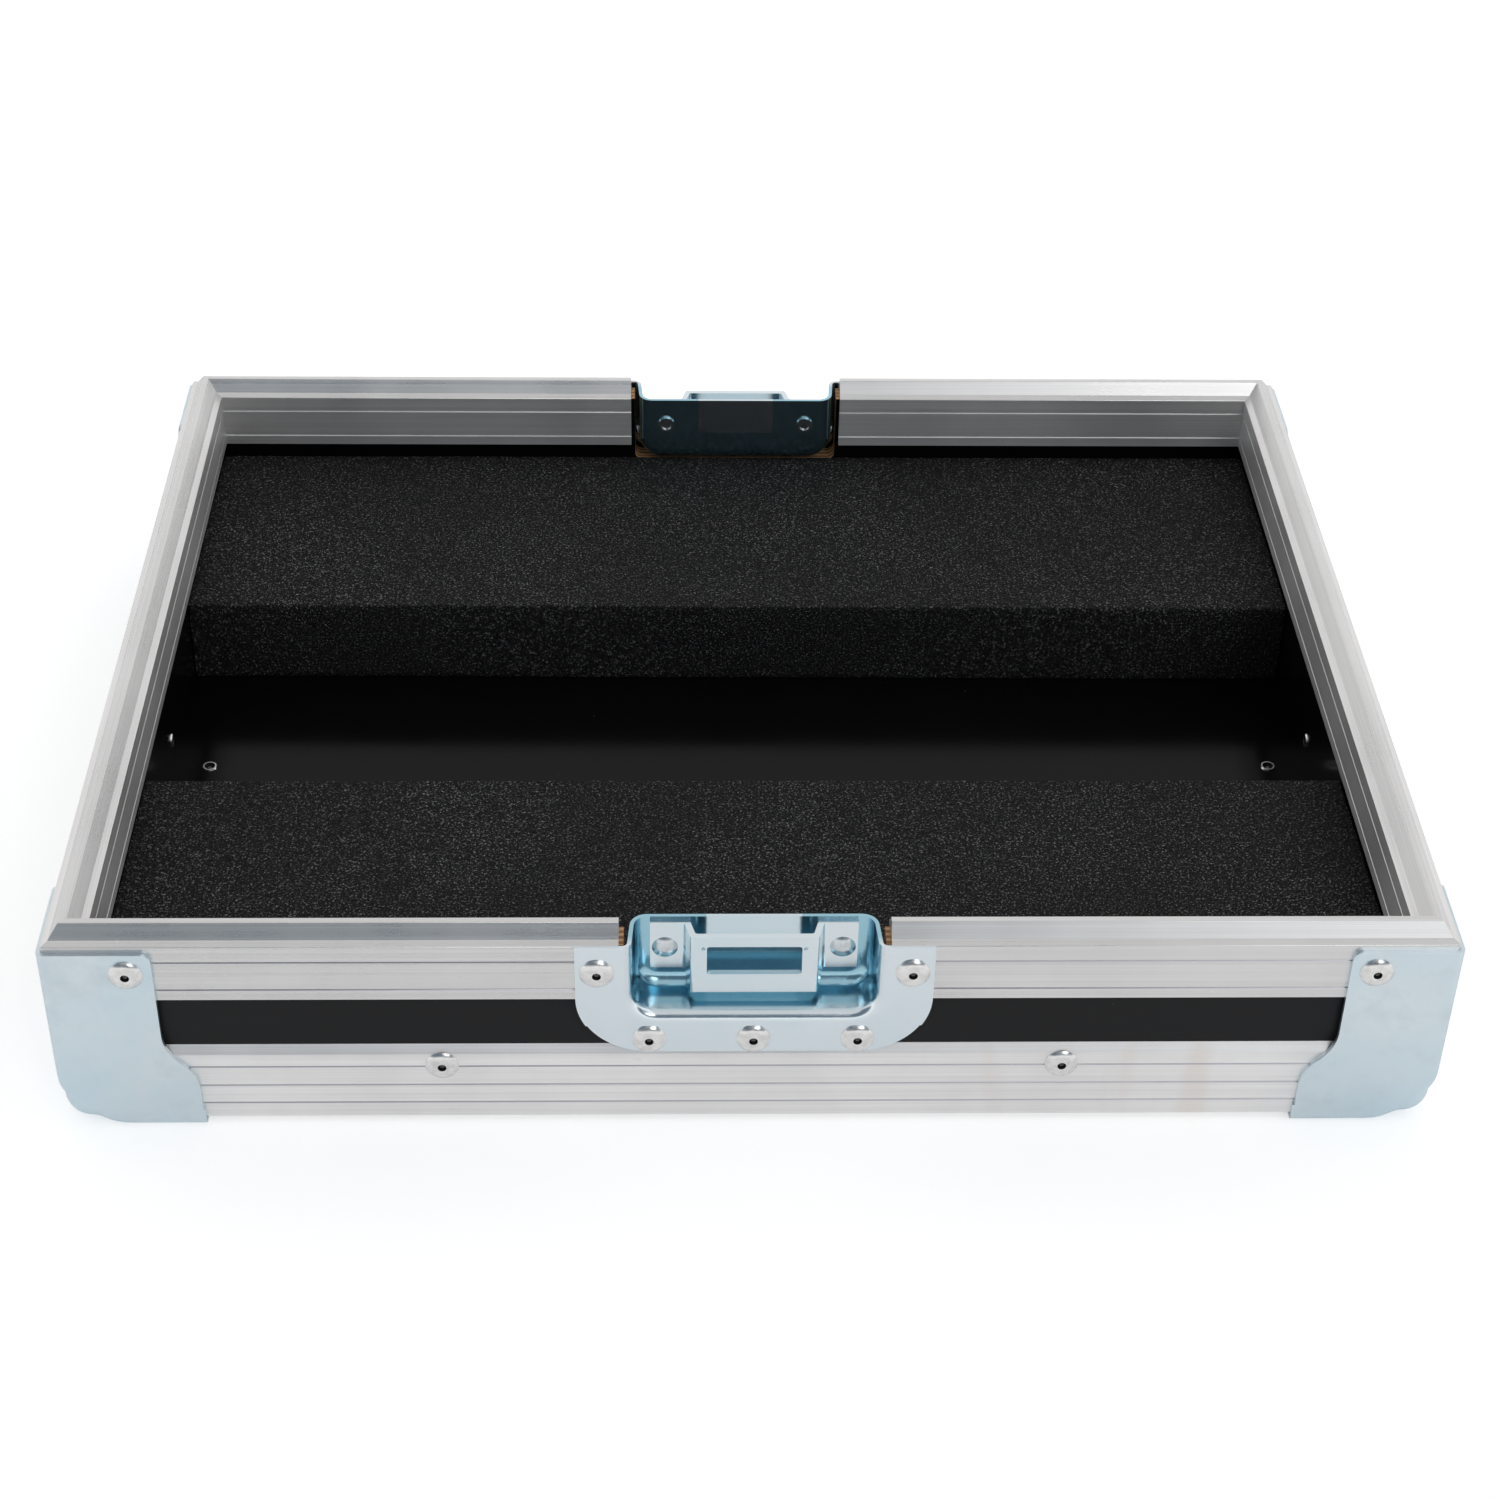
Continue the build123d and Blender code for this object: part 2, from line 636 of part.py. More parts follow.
with BuildPart() as front_catch_plate:
    wing_front = dish_depth - catch_sheet
    bridge_front = wing_front - catch_bridge_offset
    bridge_back = bridge_front + catch_sheet
    lean = (catch_wing_end - catch_bridge_half) / catch_bridge_offset
    side_wall = catch_sheet * math.hypot(1, lean)
    back_turn = catch_wing_end + lean * catch_sheet - side_wall
    back_bridge = back_turn - lean * catch_bridge_offset
    bridge_bottom_z = catch_top_z - catch_bridge_height
    wing_bottom_z = catch_top_z - catch_wing_height
    with BuildSketch(Plane.XY.offset(bridge_bottom_z)) as hat:
        right_half = [
            (catch_bridge_half, bridge_front),
            (catch_wing_end, wing_front),
            (catch_half_width, wing_front),
            (catch_half_width, dish_depth),
            (back_turn, dish_depth),
            (back_bridge, bridge_back),
        ]
        whole = right_half + [(-x, y) for x, y in reversed(right_half)]
        with BuildLine():
            Polyline(*[(x, y - half_depth) for x, y in whole], close=True)
        make_face()
        bends = hat.vertices().filter_by(lambda vertex: abs(vertex.X) < catch_wing_end + catch_sheet)
        fillet(bends, radius=catch_bend_radius)
    extrude(amount=catch_bridge_height)
    with BuildSketch(Plane.YZ.offset(-catch_half_width - cut_over)):
        with BuildLine():
            Polyline(
                (bridge_front - half_depth - cut_over, bridge_bottom_z),
                (bridge_back - half_depth, bridge_bottom_z),
                (wing_front - half_depth, wing_bottom_z),
                (dish_depth - half_depth + cut_over, wing_bottom_z),
                (dish_depth - half_depth + cut_over, catch_top_z),
                (bridge_front - half_depth - cut_over, catch_top_z),
                close=True,
            )
        make_face()
    extrude(amount=2 * (catch_half_width + cut_over), mode=Mode.INTERSECT)
    with BuildSketch(Plane.XZ.offset(half_depth - bridge_front + cut_over)):
        window_z = catch_top_z - catch_window_drop
        with Locations((0, window_z - catch_window_height / 2)):
            RectangleRounded(catch_window_width, catch_window_height, catch_window_corner)
    extrude(amount=-catch_sheet - 2 * cut_over, mode=Mode.SUBTRACT)
    dimple_z = window_z - catch_dimple_radius
    dimple_places = [front_plane(x, dimple_z, -bridge_front) for x in (-catch_dimple_x, catch_dimple_x)]
    drill(dimple_places, catch_dimple_depth, catch_dimple_radius)
    drill(catch_places, catch_sheet, catch_rivet_shank_radius)

with BuildPart() as back_catch_plate:
    mirror(front_catch_plate.part, about=Plane.XZ)


# Foam blocks along the front and back walls, with pockets over the rivet tails


def foam_block(left_depth, right_depth):
    """Block along the front wall, as deep as is given at its two ends."""
    pocket_radius = rivet_tail_radius + foam_pocket_clearance
    pocket_depth = rivet_tail_height + foam_pocket_clearance
    with BuildPart() as block:
        with BuildSketch(Plane.XY.offset(floor_z)):
            with BuildLine():
                Polyline(
                    (-foam_half_length, -inner_half_depth),
                    (foam_half_length, -inner_half_depth),
                    (foam_half_length, right_depth - inner_half_depth),
                    (-foam_half_length, left_depth - inner_half_depth),
                    close=True,
                )
            make_face()
        extrude(amount=foam_height)
        fillet(block.edges().group_by(Axis.Z)[-1], radius=foam_edge_radius)
        drill(front_angle_places + front_under_places, through_grip + pocket_depth, pocket_radius)
        drill(dish_low_places, dish_low_grip + pocket_depth, pocket_radius)
    return block.part


with BuildPart() as front_foam_block:
    add(foam_block(foam_depth, foam_depth))

with BuildPart() as back_foam_block:
    mirror(foam_block(foam_back_left_depth, foam_back_right_depth), about=Plane.XZ)


# Rivets, one group for each piece that they hold

through_rivet = blind_rivet(through_grip, True)
brace_rivet = blind_rivet(brace_grip, False)
dish_side_rivet = blind_rivet(dish_side_grip, False)
dish_low_rivet = blind_rivet(dish_low_grip, True)

with BuildPart() as front_angle_rivets:
    with Locations(*front_angle_places, *front_under_places):
        add(through_rivet)

with BuildPart() as back_angle_rivets:
    mirror(front_angle_rivets.part, about=Plane.XZ)

with BuildPart() as left_angle_rivets:
    with Locations(*left_angle_places, *left_under_places):
        add(through_rivet)

with BuildPart() as right_angle_rivets:
    mirror(left_angle_rivets.part, about=Plane.YZ)

with BuildPart() as front_left_brace_rivets:
    with Locations(brace_front_places[0], brace_side_places[0]):
        add(brace_rivet)

with BuildPart() as back_left_brace_rivets:
    mirror(front_left_brace_rivets.part, about=Plane.XZ)

with BuildPart() as front_right_brace_rivets:
    mirror(front_left_brace_rivets.part, about=Plane.YZ)

with BuildPart() as back_right_brace_rivets:
    mirror(back_left_brace_rivets.part, about=Plane.YZ)

with BuildPart() as front_dish_rivets:
    with Locations(*dish_side_places):
        add(dish_side_rivet)
    with Locations(*dish_low_places):
        add(dish_low_rivet)

with BuildPart() as back_dish_rivets:
    mirror(front_dish_rivets.part, about=Plane.XZ)

with BuildPart() as front_catch_rivets:
    with Locations(*catch_places):
        add(catch_rivet())

with BuildPart() as back_catch_rivets:
    mirror(front_catch_rivets.part, about=Plane.XZ)


# Each piece is one node, written under its own name

pieces = {
    "base_panel": base_panel,
    "front_panel": front_panel,
    "back_panel": back_panel,
    "left_panel": left_panel,
    "right_panel": right_panel,
    "front_rail_left": front_rail_left,
    "front_rail_right": front_rail_right,
    "back_rail_left": back_rail_left,
    "back_rail_right": back_rail_right,
    "left_rail": left_rail,
    "right_rail": right_rail,
    "front_angle": front_angle,
    "back_angle": back_angle,
    "left_angle": left_angle,
    "right_angle": right_angle,
    "front_left_brace": front_left_brace,
    "front_right_brace": front_right_brace,
    "back_left_brace": back_left_brace,
    "back_right_brace": back_right_brace,
    "front_catch_dish": front_catch_dish,
    "back_catch_dish": back_catch_dish,
    "front_catch_plate": front_catch_plate,
    "back_catch_plate": back_catch_plate,
    "front_foam_block": front_foam_block,
    "back_foam_block": back_foam_block,
    "front_angle_rivets": front_angle_rivets,
    "back_angle_rivets": back_angle_rivets,
    "left_angle_rivets": left_angle_rivets,
    "right_angle_rivets": right_angle_rivets,
    "front_left_brace_rivets": front_left_brace_rivets,
    "front_right_brace_rivets": front_right_brace_rivets,
    "back_left_brace_rivets": back_left_brace_rivets,
    "back_right_brace_rivets": back_right_brace_rivets,
    "front_dish_rivets": front_dish_rivets,
    "back_dish_rivets": back_dish_rivets,
    "front_catch_rivets": front_catch_rivets,
    "back_catch_rivets": back_catch_rivets,
}

os.makedirs("parts", exist_ok=True)
for name, piece in pieces.items():
    piece.part.label = name
    export_step(piece.part, f"parts/{name}.step")
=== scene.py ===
import json
import math

import bmesh
import bpy
import numpy as np
from bpy.props import FloatProperty, FloatVectorProperty, PointerProperty
from mathutils import Matrix, Vector


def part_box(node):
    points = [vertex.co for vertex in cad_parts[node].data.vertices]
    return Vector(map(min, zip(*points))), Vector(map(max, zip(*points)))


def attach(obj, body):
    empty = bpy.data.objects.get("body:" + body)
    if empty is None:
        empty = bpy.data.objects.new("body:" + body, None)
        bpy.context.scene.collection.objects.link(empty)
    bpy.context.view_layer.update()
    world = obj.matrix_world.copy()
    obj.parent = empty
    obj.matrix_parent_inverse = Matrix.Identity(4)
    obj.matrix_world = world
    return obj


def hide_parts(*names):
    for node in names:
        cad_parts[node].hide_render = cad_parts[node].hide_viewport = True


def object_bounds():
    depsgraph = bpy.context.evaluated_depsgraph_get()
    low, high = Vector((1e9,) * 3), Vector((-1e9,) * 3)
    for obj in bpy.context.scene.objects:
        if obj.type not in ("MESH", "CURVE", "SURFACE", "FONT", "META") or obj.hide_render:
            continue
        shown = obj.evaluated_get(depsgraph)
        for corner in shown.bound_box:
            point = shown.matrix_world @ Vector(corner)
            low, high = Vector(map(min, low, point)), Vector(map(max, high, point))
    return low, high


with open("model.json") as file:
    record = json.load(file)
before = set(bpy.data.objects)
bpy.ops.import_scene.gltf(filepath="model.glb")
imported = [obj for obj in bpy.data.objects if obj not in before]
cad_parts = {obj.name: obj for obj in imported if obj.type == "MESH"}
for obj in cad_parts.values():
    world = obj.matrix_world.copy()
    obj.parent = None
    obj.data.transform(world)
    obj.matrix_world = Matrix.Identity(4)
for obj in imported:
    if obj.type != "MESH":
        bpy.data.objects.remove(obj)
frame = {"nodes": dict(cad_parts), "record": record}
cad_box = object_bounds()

bl_info = {
    "name": "Flight Case Base",
    "version": (1, 0, 0),
    "blender": (4, 5, 0),
    "location": "View3D > Sidebar > Flight Case",
    "description": "Finishes the base half of a mixer flight case and sets up a studio for it",
    "category": "Add Mesh",
}

NODES = frame["nodes"]
MM = 0.001
BODY = "root"


# Shader maths


class Value:
    """One output socket of a finish. Arithmetic on it adds Math nodes."""

    def __init__(self, finish, socket):
        self.finish = finish
        self.socket = socket

    def _math(self, operation, first, second):
        return self.finish.add("ShaderNodeMath", {"operation": operation}, {0: first, 1: second})

    def __add__(self, other):
        return self._math("ADD", self, other)

    def __radd__(self, other):
        return self._math("ADD", other, self)

    def __sub__(self, other):
        return self._math("SUBTRACT", self, other)

    def __rsub__(self, other):
        return self._math("SUBTRACT", other, self)

    def __mul__(self, other):
        return self._math("MULTIPLY", self, other)

    def __rmul__(self, other):
        return self._math("MULTIPLY", other, self)

    def __gt__(self, other):
        return self._math("GREATER_THAN", self, other)

    def __lt__(self, other):
        return self._math("LESS_THAN", self, other)

    def __abs__(self):
        return self._math("ABSOLUTE", self, 0.0)


class Sheet:
    """A node tree that is built from Python."""

    def __init__(self, tree):
        self.tree = tree
        self.tree.nodes.clear()

    def add(self, kind, settings=None, inputs=None, output=0):
        """Any node: its settings first, with a ramp's stops, then the values or links of its sockets."""
        node = self.tree.nodes.new(kind)
        for key, setting in (settings or {}).items():
            if key == "stops":
                ramp = node.color_ramp.elements
                while len(ramp) < len(setting):
                    ramp.new(0.5)
                for stop, (position, grey) in zip(ramp, setting):
                    stop.position = position
                    stop.color = (grey, grey, grey, 1.0)
            else:
                setattr(node, key, setting)
        for key, given in (inputs or {}).items():
            socket = node.inputs[key]
            if isinstance(given, Value):
                self.tree.links.new(given.socket, socket)
            else:
                socket.default_value = given
        return Value(self, node.outputs[output])

    def ramp(self, value, *stops):
        """A grey curve through the stops, from 0 to 1."""
        return self.add("ShaderNodeValToRGB", {"stops": stops}, {0: value})

    def blend(self, first, second, factor):
        """From the first colour to the second as the factor goes from 0 to 1."""
        return self.add(
            "ShaderNodeMix", {"data_type": "RGBA"}, {0: factor, 6: first, 7: second}, output=2
        )


class Finish(Sheet):
    """A material built from nodes. Every pattern is laid out in the case's own metres."""

    def __init__(self, name):
        self.material = bpy.data.materials.new(name)
        self.material.use_nodes = True
        super().__init__(self.material.node_tree)
        self.place = self.add("ShaderNodeTexCoord", output="Object")

    def axes(self):
        """The place's X, Y and Z as values, in metres."""
        split = self.add("ShaderNodeSeparateXYZ", inputs={0: self.place})
        node = split.socket.node
        return tuple(Value(self, node.outputs[k]) for k in range(3))

    def stretched(self, scale):
        """The place scaled along each axis, so that a pattern runs long or short there."""
        return self.add("ShaderNodeVectorMath", {"operation": "MULTIPLY"}, {0: self.place, 1: scale})

    def noise(self, where, scale, detail=2.0, roughness=0.5, offset=0.0):
        """Soft noise from 0 to 1."""
        spot = where if offset == 0.0 else self.add(
            "ShaderNodeVectorMath", {"operation": "ADD"}, {0: where, 1: (offset, offset, offset)}
        )
        return self.add(
            "ShaderNodeTexNoise", None,
            {"Vector": spot, "Scale": scale, "Detail": detail, "Roughness": roughness},
        )

    def cells(self, where, scale, feature="F1"):
        """Distance from the nearest cell's centre, or to its wall."""
        return self.add(
            "ShaderNodeTexVoronoi", {"feature": feature}, {"Vector": where, "Scale": scale},
            output="Distance",
        )

    def relief(self, height, depth, strength=1.0):
        """A normal from a height of 0 to 1 that is depth metres deep."""
        return self.add(
            "ShaderNodeBump", None, {"Strength": strength, "Distance": depth, "Height": height}
        )

    def surface(self, **sockets):
        """The finish's shader, with socket names written with underscores."""
        inputs = {key.replace("_", " "): given for key, given in sockets.items()}
        shader = self.add("ShaderNodeBsdfPrincipled", None, inputs)
        self.add_output(shader)
        return self.material

    def add_output(self, shader):
        """Joins a shader to the material's output."""
        output = self.tree.nodes.new("ShaderNodeOutputMaterial")
        self.tree.links.new(shader.socket, output.inputs["Surface"])


def colour(rgb):
    """A colour of three numbers as a shader socket takes it."""
    return (rgb[0], rgb[1], rgb[2], 1.0)


def tinted(rgb, factors):
    """A colour with each of its parts lighter or darker by a factor of its own."""
    return colour([part * factor for part, factor in zip(rgb, factors)])


def shade(rgb, factor):
    """The same hue, lighter or darker by a factor."""
    return tinted(rgb, (factor, factor, factor))


WHITE = (1.0, 1.0, 1.0)


# Finishes


def extruded_aluminium(name, tint, along, roughness, grooves, inner, smudge=0.0):
    """Natural extrusion: straight fine die lines along its length, faint cloudy patches, a few handling
    marks, small bright nicks and a darker tint painted as shade at the levels of its grooves. The faces
    nearer to the middle than inner are duller. Smudge adds faint brown runs down its faces."""
    finish = Finish(name)
    stretch = [1.0, 1.0, 1.0]
    stretch[along] = 0.0018
    lines = finish.stretched(tuple(stretch))
    hair = finish.noise(lines, scale=3400.0, roughness=0.7)
    streaks = finish.noise(lines, scale=700.0, detail=3.0, roughness=0.6, offset=3.1)
    clouds = finish.noise(finish.place, scale=20.0, detail=3.0, roughness=0.55, offset=7.7)
    marks = finish.noise(finish.place, scale=170.0, detail=5.0, roughness=0.75, offset=11.3)
    spots = finish.ramp(marks, (0.66, 0.0), (0.74, 1.0))
    tone = finish.ramp(hair * 0.35 + streaks * 0.30 + clouds * 0.35, (0.38, 0.0), (0.62, 1.0))
    grey = finish.blend(shade(tint, 0.88), shade(tint, 1.08), tone)
    grey = finish.blend(grey, shade(tint, 0.80), spots * 0.3)
    drips = finish.noise(finish.stretched((1.0, 1.0, 0.12)), scale=46.0, offset=15.1)
    brown = tinted(tint, (0.90, 0.82, 0.74))
    grey = finish.blend(grey, brown, finish.ramp(drips, (0.60, 0.0), (0.72, 1.0)) * smudge)
    x, y, z = finish.axes()
    inside = (abs(x) < inner[0]) * (abs(y) < inner[1]) * (z < inner[2])
    # Painted shade in the grooves: a darker purple-grey tint along each groove's level, left off the inner
    # faces.
    for level in grooves:
        groove_shade = finish.ramp(abs(z - level) * (1.0 / MM), (0.22, 1.0), (0.42, 0.0))
        grey = finish.blend(grey, tinted(tint, (0.58, 0.57, 0.62)), groove_shade * (1.0 - inside))
    nicks = finish.ramp(finish.cells(finish.place, 210.0), (0.03, 1.0), (0.07, 0.0))
    nicks = nicks * finish.ramp(marks, (0.52, 0.0), (0.60, 1.0))
    grey = finish.blend(grey, (0.97, 0.97, 0.98, 1.0), nicks)
    rough = roughness + (streaks - 0.5) * 0.12 + (clouds - 0.5) * 0.18 + spots * 0.08 - nicks * 0.1
    rough = rough + inside * 0.14
    metallic = 0.84 - inside * 0.12
    normal = finish.relief(hair * 0.7 + streaks * 0.3, depth=0.05 * MM, strength=0.07)
    return finish.surface(Base_Color=grey, Metallic=metallic, Roughness=rough, Normal=normal)


def zinc_plate(name, tint, cast, roughness, mottle=1.0, deep=None, mouth=0.0):
    """Blue passivated zinc on steel: a cool mottled sheen that drifts between two tints. With deep, the
    colour turns to that darker tint behind the mouth as painted shade inside the dish, but hardly in
    the back's middle."""
    finish = Finish(name)
    drift = finish.noise(finish.place, scale=22.0, detail=3.0, offset=2.0)
    bloom = finish.noise(finish.place, scale=60.0, detail=5.0, roughness=0.6, offset=5.0)
    grain = finish.noise(finish.place, scale=900.0, detail=3.0, roughness=0.6, offset=8.0)
    tone = finish.ramp(drift * 0.6 + bloom * 0.4, (0.38, 0.0), (0.60, 1.0))
    metal = finish.blend(colour(tint), colour(cast), tone)
    dull = finish.ramp(bloom, (0.50, 0.0), (0.72, 1.0))
    metal = finish.blend(metal, shade(tint, 0.84), dull * 0.5 * mottle)
    # Painted shade: behind the dish's mouth the colour turns to the darker deep tint, except mostly in the
    # upper middle of the back wall.
    if deep is not None:
        turn, clear_half, clear_level, clear_share = 4.0 * MM, 15.0 * MM, 60.0 * MM, 0.85
        x, y, z = finish.axes()
        dish_shade_mask = finish.ramp((mouth - abs(y)) * (1.0 / turn), (0.0, 0.0), (1.0, 1.0))
        clear = (abs(x) < clear_half) * (z > clear_level)
        metal = finish.blend(metal, colour(deep), dish_shade_mask * (1.0 - clear * clear_share))
    rough = roughness + (bloom - 0.5) * 0.30 * mottle + (grain - 0.5) * 0.08 + (drift - 0.5) * 0.10
    normal = finish.relief(grain * 0.6 + bloom * 0.4, depth=0.03 * MM, strength=0.4)
    return finish.surface(Base_Color=metal, Metallic=1.0, Roughness=rough, Normal=normal)


def laminated_board(name, s):
    """Black laminate on plywood, whose plies show where front and back boards are cut for the dishes."""
    finish = Finish(name)
    x, y, z = finish.axes()
    pebble = finish.noise(finish.place, scale=1500.0)
    wear = finish.noise(finish.place, scale=30.0, detail=4.0, roughness=0.6, offset=4.0)
    speck = finish.ramp(finish.cells(finish.place, 95.0), (0.0, 1.0), (0.035, 0.0))
    speck = speck * finish.ramp(wear, (0.48, 0.0), (0.6, 1.0))
    outside = (abs(x) > s.outer_x) + (abs(y) > s.outer_y)
    black = finish.blend(colour(s.laminate), shade(s.laminate, 1.4), wear)
    black = finish.blend(black, shade(s.laminate, 8.0), outside)
    black = finish.blend(black, (0.30, 0.30, 0.31, 1.0), speck * 0.8)
    plies = finish.add("ShaderNodeMath", {"operation": "FRACT"}, {0: abs(y) * (0.5 / s.ply)})
    crossed = finish.ramp(plies, (0.42, 0.0), (0.5, 1.0))
    wood = finish.blend(colour(s.ply_light), colour(s.ply_dark), crossed)
    fibre = finish.noise(finish.stretched((1.0, 1.0, 0.25)), scale=900.0, detail=3.0, roughness=0.7)
    wood = finish.blend(wood, shade(s.ply_dark, 0.6), finish.ramp(fibre, (0.45, 0.0), (0.7, 1.0)) * 0.6)
    core = (abs(y) > s.core_inner) * (abs(y) < s.core_outer)
    cut = core * (abs(x) < s.notch_half) * (z > s.notch_z)
    rough = 0.17 + (wear - 0.5) * 0.08 + outside * 0.12 + cut * 0.5
    normal = finish.relief(pebble * 0.2 + fibre * cut * 2.0, depth=0.05 * MM, strength=0.4)
    return finish.surface(
        Base_Color=finish.blend(black, wood, cut), Metallic=0.0, Roughness=rough, Specular_IOR_Level=0.1,
        Normal=normal,
    )


def open_cell_foam(name, tint):
    """Cut polyethylene foam: fine black cells, darker in their hollows as painted shade, with torn walls
    and glints painted lighter here and there as painted highlights.
    """
    finish = Finish(name)
    cell = 1200.0
    pore = finish.ramp(finish.cells(finish.place, cell), (0.15, 0.0), (0.62, 1.0))
    rim = finish.ramp(finish.cells(finish.place, cell, "DISTANCE_TO_EDGE"), (0.01, 1.0), (0.16, 0.0))
    broad = finish.noise(finish.place, scale=14.0, detail=4.0, roughness=0.6, offset=6.0)
    crumb = finish.noise(finish.place, scale=1250.0, roughness=0.7, offset=8.0)
    torn = finish.ramp(crumb, (0.44, 0.0), (0.62, 1.0))
    painted_glint = finish.ramp(crumb, (0.60, 0.0), (0.66, 1.0))
    # Painted shade and highlights: cell hollows are painted darker, and torn walls at the cell rims and
    # sparse glints lighter.
    dark = finish.blend(shade(tint, 0.15), shade(tint, 1.3), pore * 0.6 + torn * 0.4)
    dark = finish.blend(dark, shade(tint, 5.5), rim * torn)
    dark = finish.blend(dark, shade(tint, 17.0), painted_glint)
    dark = finish.blend(dark, shade(tint, 0.7), finish.ramp(broad, (0.40, 0.0), (0.62, 1.0)) * 0.35)
    normal = finish.relief(pore * 0.7 + rim * 0.5, depth=0.5 * MM, strength=0.7)
    return finish.surface(
        Base_Color=dark, Metallic=0.0, Roughness=0.9, Specular_IOR_Level=0.15, Normal=normal
    )


def turned_metal(name, tint, roughness):
    """Bright formed rivet metal with faint smudges."""
    finish = Finish(name)
    smudge = finish.noise(finish.place, scale=420.0, detail=3.0, roughness=0.6)
    grain = finish.noise(finish.place, scale=2600.0, offset=5.0)
    tone = finish.ramp(smudge, (0.35, 0.0), (0.6, 1.0))
    metal = finish.blend(shade(tint, 0.88), shade(tint, 1.06), tone)
    rough = roughness + (smudge - 0.5) * 0.2
    normal = finish.relief(grain, depth=0.02 * MM, strength=0.3)
    return finish.surface(Base_Color=metal, Metallic=1.0, Roughness=rough, Normal=normal)


def broken_mandrel(name, bore, tip):
    """A dark lining down the bore, which is painted shade, and grey broken steel at the tip, as the mesh's
    gleam says.
    """
    finish = Finish(name)
    gleam = finish.add("ShaderNodeAttribute", {"attribute_name": "gleam"}, output="Fac")
    grain = finish.noise(finish.place, scale=3200.0, detail=3.0, roughness=0.7)
    metal = finish.blend(colour(bore), colour(tip), gleam * finish.ramp(grain, (0.35, 0.3), (0.6, 1.0)))
    rough = 0.75 - gleam * 0.4
    normal = finish.relief(grain, depth=0.1 * MM, strength=0.6)
    return finish.surface(
        Base_Color=metal, Metallic=gleam, Roughness=rough, Specular_IOR_Level=0.2, Normal=normal
    )


# Surfaces


def lay_surface(name, points, closed_round=False):
    """A mesh from one or more grids of points, rows by columns. Quads join neighbouring points, and with
    closed_round the last column to the first."""
    rows, columns = points.shape[-3:-1]
    index = np.arange(points.size // 3).reshape(-1, rows, columns)
    if closed_round:
        index = np.concatenate([index, index[:, :, :1]], axis=2)
    corners = [index[:, :-1, :-1], index[:, :-1, 1:], index[:, 1:, 1:], index[:, 1:, :-1]]
    quads = np.stack(corners, axis=-1).reshape(-1, 4)
    mesh = bpy.data.meshes.new(name)
    mesh.from_pydata(points.reshape(-1, 3).tolist(), [], quads.tolist())
    mesh.update()
    return mesh


def merge_close(mesh, distance):
    """Merges doubled points, so that poles and seams are closed, and turns the faces outwards."""
    work = bmesh.new()
    work.from_mesh(mesh)
    bmesh.ops.remove_doubles(work, verts=work.verts, dist=distance)
    bmesh.ops.dissolve_degenerate(work, edges=work.edges, dist=distance)
    bmesh.ops.recalc_face_normals(work, faces=work.faces)
    work.to_mesh(mesh)
    work.free()


def put_piece(name, mesh, finish):
    """Links a finished mesh as a smooth piece of the case."""
    piece = bpy.data.objects.new(name, mesh)
    bpy.context.scene.collection.objects.link(piece)
    mesh.materials.append(finish)
    mesh.polygons.foreach_set("use_smooth", np.full(len(mesh.polygons), True))
    mesh.update()
    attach(piece, BODY)
    return piece


def repaint(nodes, finish):
    """Gives the CAD nodes another finish."""
    for node in nodes:
        NODES[node].data.materials[0] = finish


def soften_edges(nodes, width):
    """Breaks the CAD nodes' sharp edges, which turn by over 40 degrees, with a bevel that catches light."""
    for node in nodes:
        piece = NODES[node]
        weld = piece.modifiers.new("join", "WELD")
        weld.merge_threshold = 0.001 * MM
        bevel = piece.modifiers.new("broken edge", "BEVEL")
        bevel.width = width
        bevel.segments = 2
        bevel.limit_method = "ANGLE"
        bevel.angle_limit = math.radians(40.0)
        bevel.harden_normals = True


def nodes_with(*words):
    """The CAD nodes whose names hold any of the words, except their rivets."""
    return sorted(n for n in NODES if any(w in n for w in words) and "rivets" not in n)


def solids_of(node):
    """Lowest and highest corners of each separate solid of a CAD node. Points start with labels of their
    own, and points that share an edge take the smaller label until no label changes."""
    mesh = NODES[node].data
    places = np.empty(len(mesh.vertices) * 3)
    mesh.vertices.foreach_get("co", places)
    points, same = np.unique(np.round(places.reshape(-1, 3), 6), axis=0, return_inverse=True)
    edges = np.empty(len(mesh.edges) * 2, dtype=int)
    mesh.edges.foreach_get("vertices", edges)
    ends = same.ravel()[edges].reshape(-1, 2)
    label = np.arange(len(points))
    before = None
    while before is None or not np.array_equal(before, label):
        before = label.copy()
        least = np.minimum(label[ends[:, 0]], label[ends[:, 1]])
        np.minimum.at(label, ends[:, 0], least)
        np.minimum.at(label, ends[:, 1], least)
        label = label[label]
    groups = (points[label == k] for k in np.unique(label))
    return [(group.min(axis=0), group.max(axis=0)) for group in groups]


def record_colour(slot):
    """The record's base colour of a material slot."""
    for material in frame["record"]["materials"]:
        if material["slot"] == slot:
            return tuple(material["base_color"][:3])
    raise ValueError(f"the record has no material slot {slot}")


# Settings


def tint_setting(name, description, *default):
    """A colour."""
    return FloatVectorProperty(
        name=name, description=description, subtype="COLOR", size=3, min=0.0, max=1.0, default=default
    )


def share_setting(name, description, default):
    """A number from 0 to 1."""
    return FloatProperty(
        name=name, description=description, subtype="FACTOR", min=0.0, max=1.0, default=default
    )


def light_setting(name, description, default):
    """A brightness, where 1 is white, or a lamp's power."""
    return FloatProperty(name=name, description=description, min=0.0, default=default)


def length_setting(name, description, default, least=0.0):
    """A length, given in millimetres."""
    return FloatProperty(
        name=name, description=description, unit="LENGTH", min=least * MM, default=default * MM
    )


def lengths_setting(name, description, *default):
    """Several lengths, given in millimetres."""
    return FloatVectorProperty(
        name=name, description=description, unit="LENGTH", size=len(default),
        default=tuple(length * MM for length in default),
    )


def turn_setting(name, description, default):
    """An angle, given in degrees."""
    return FloatProperty(
        name=name, description=description, subtype="ANGLE", default=math.radians(default)
    )


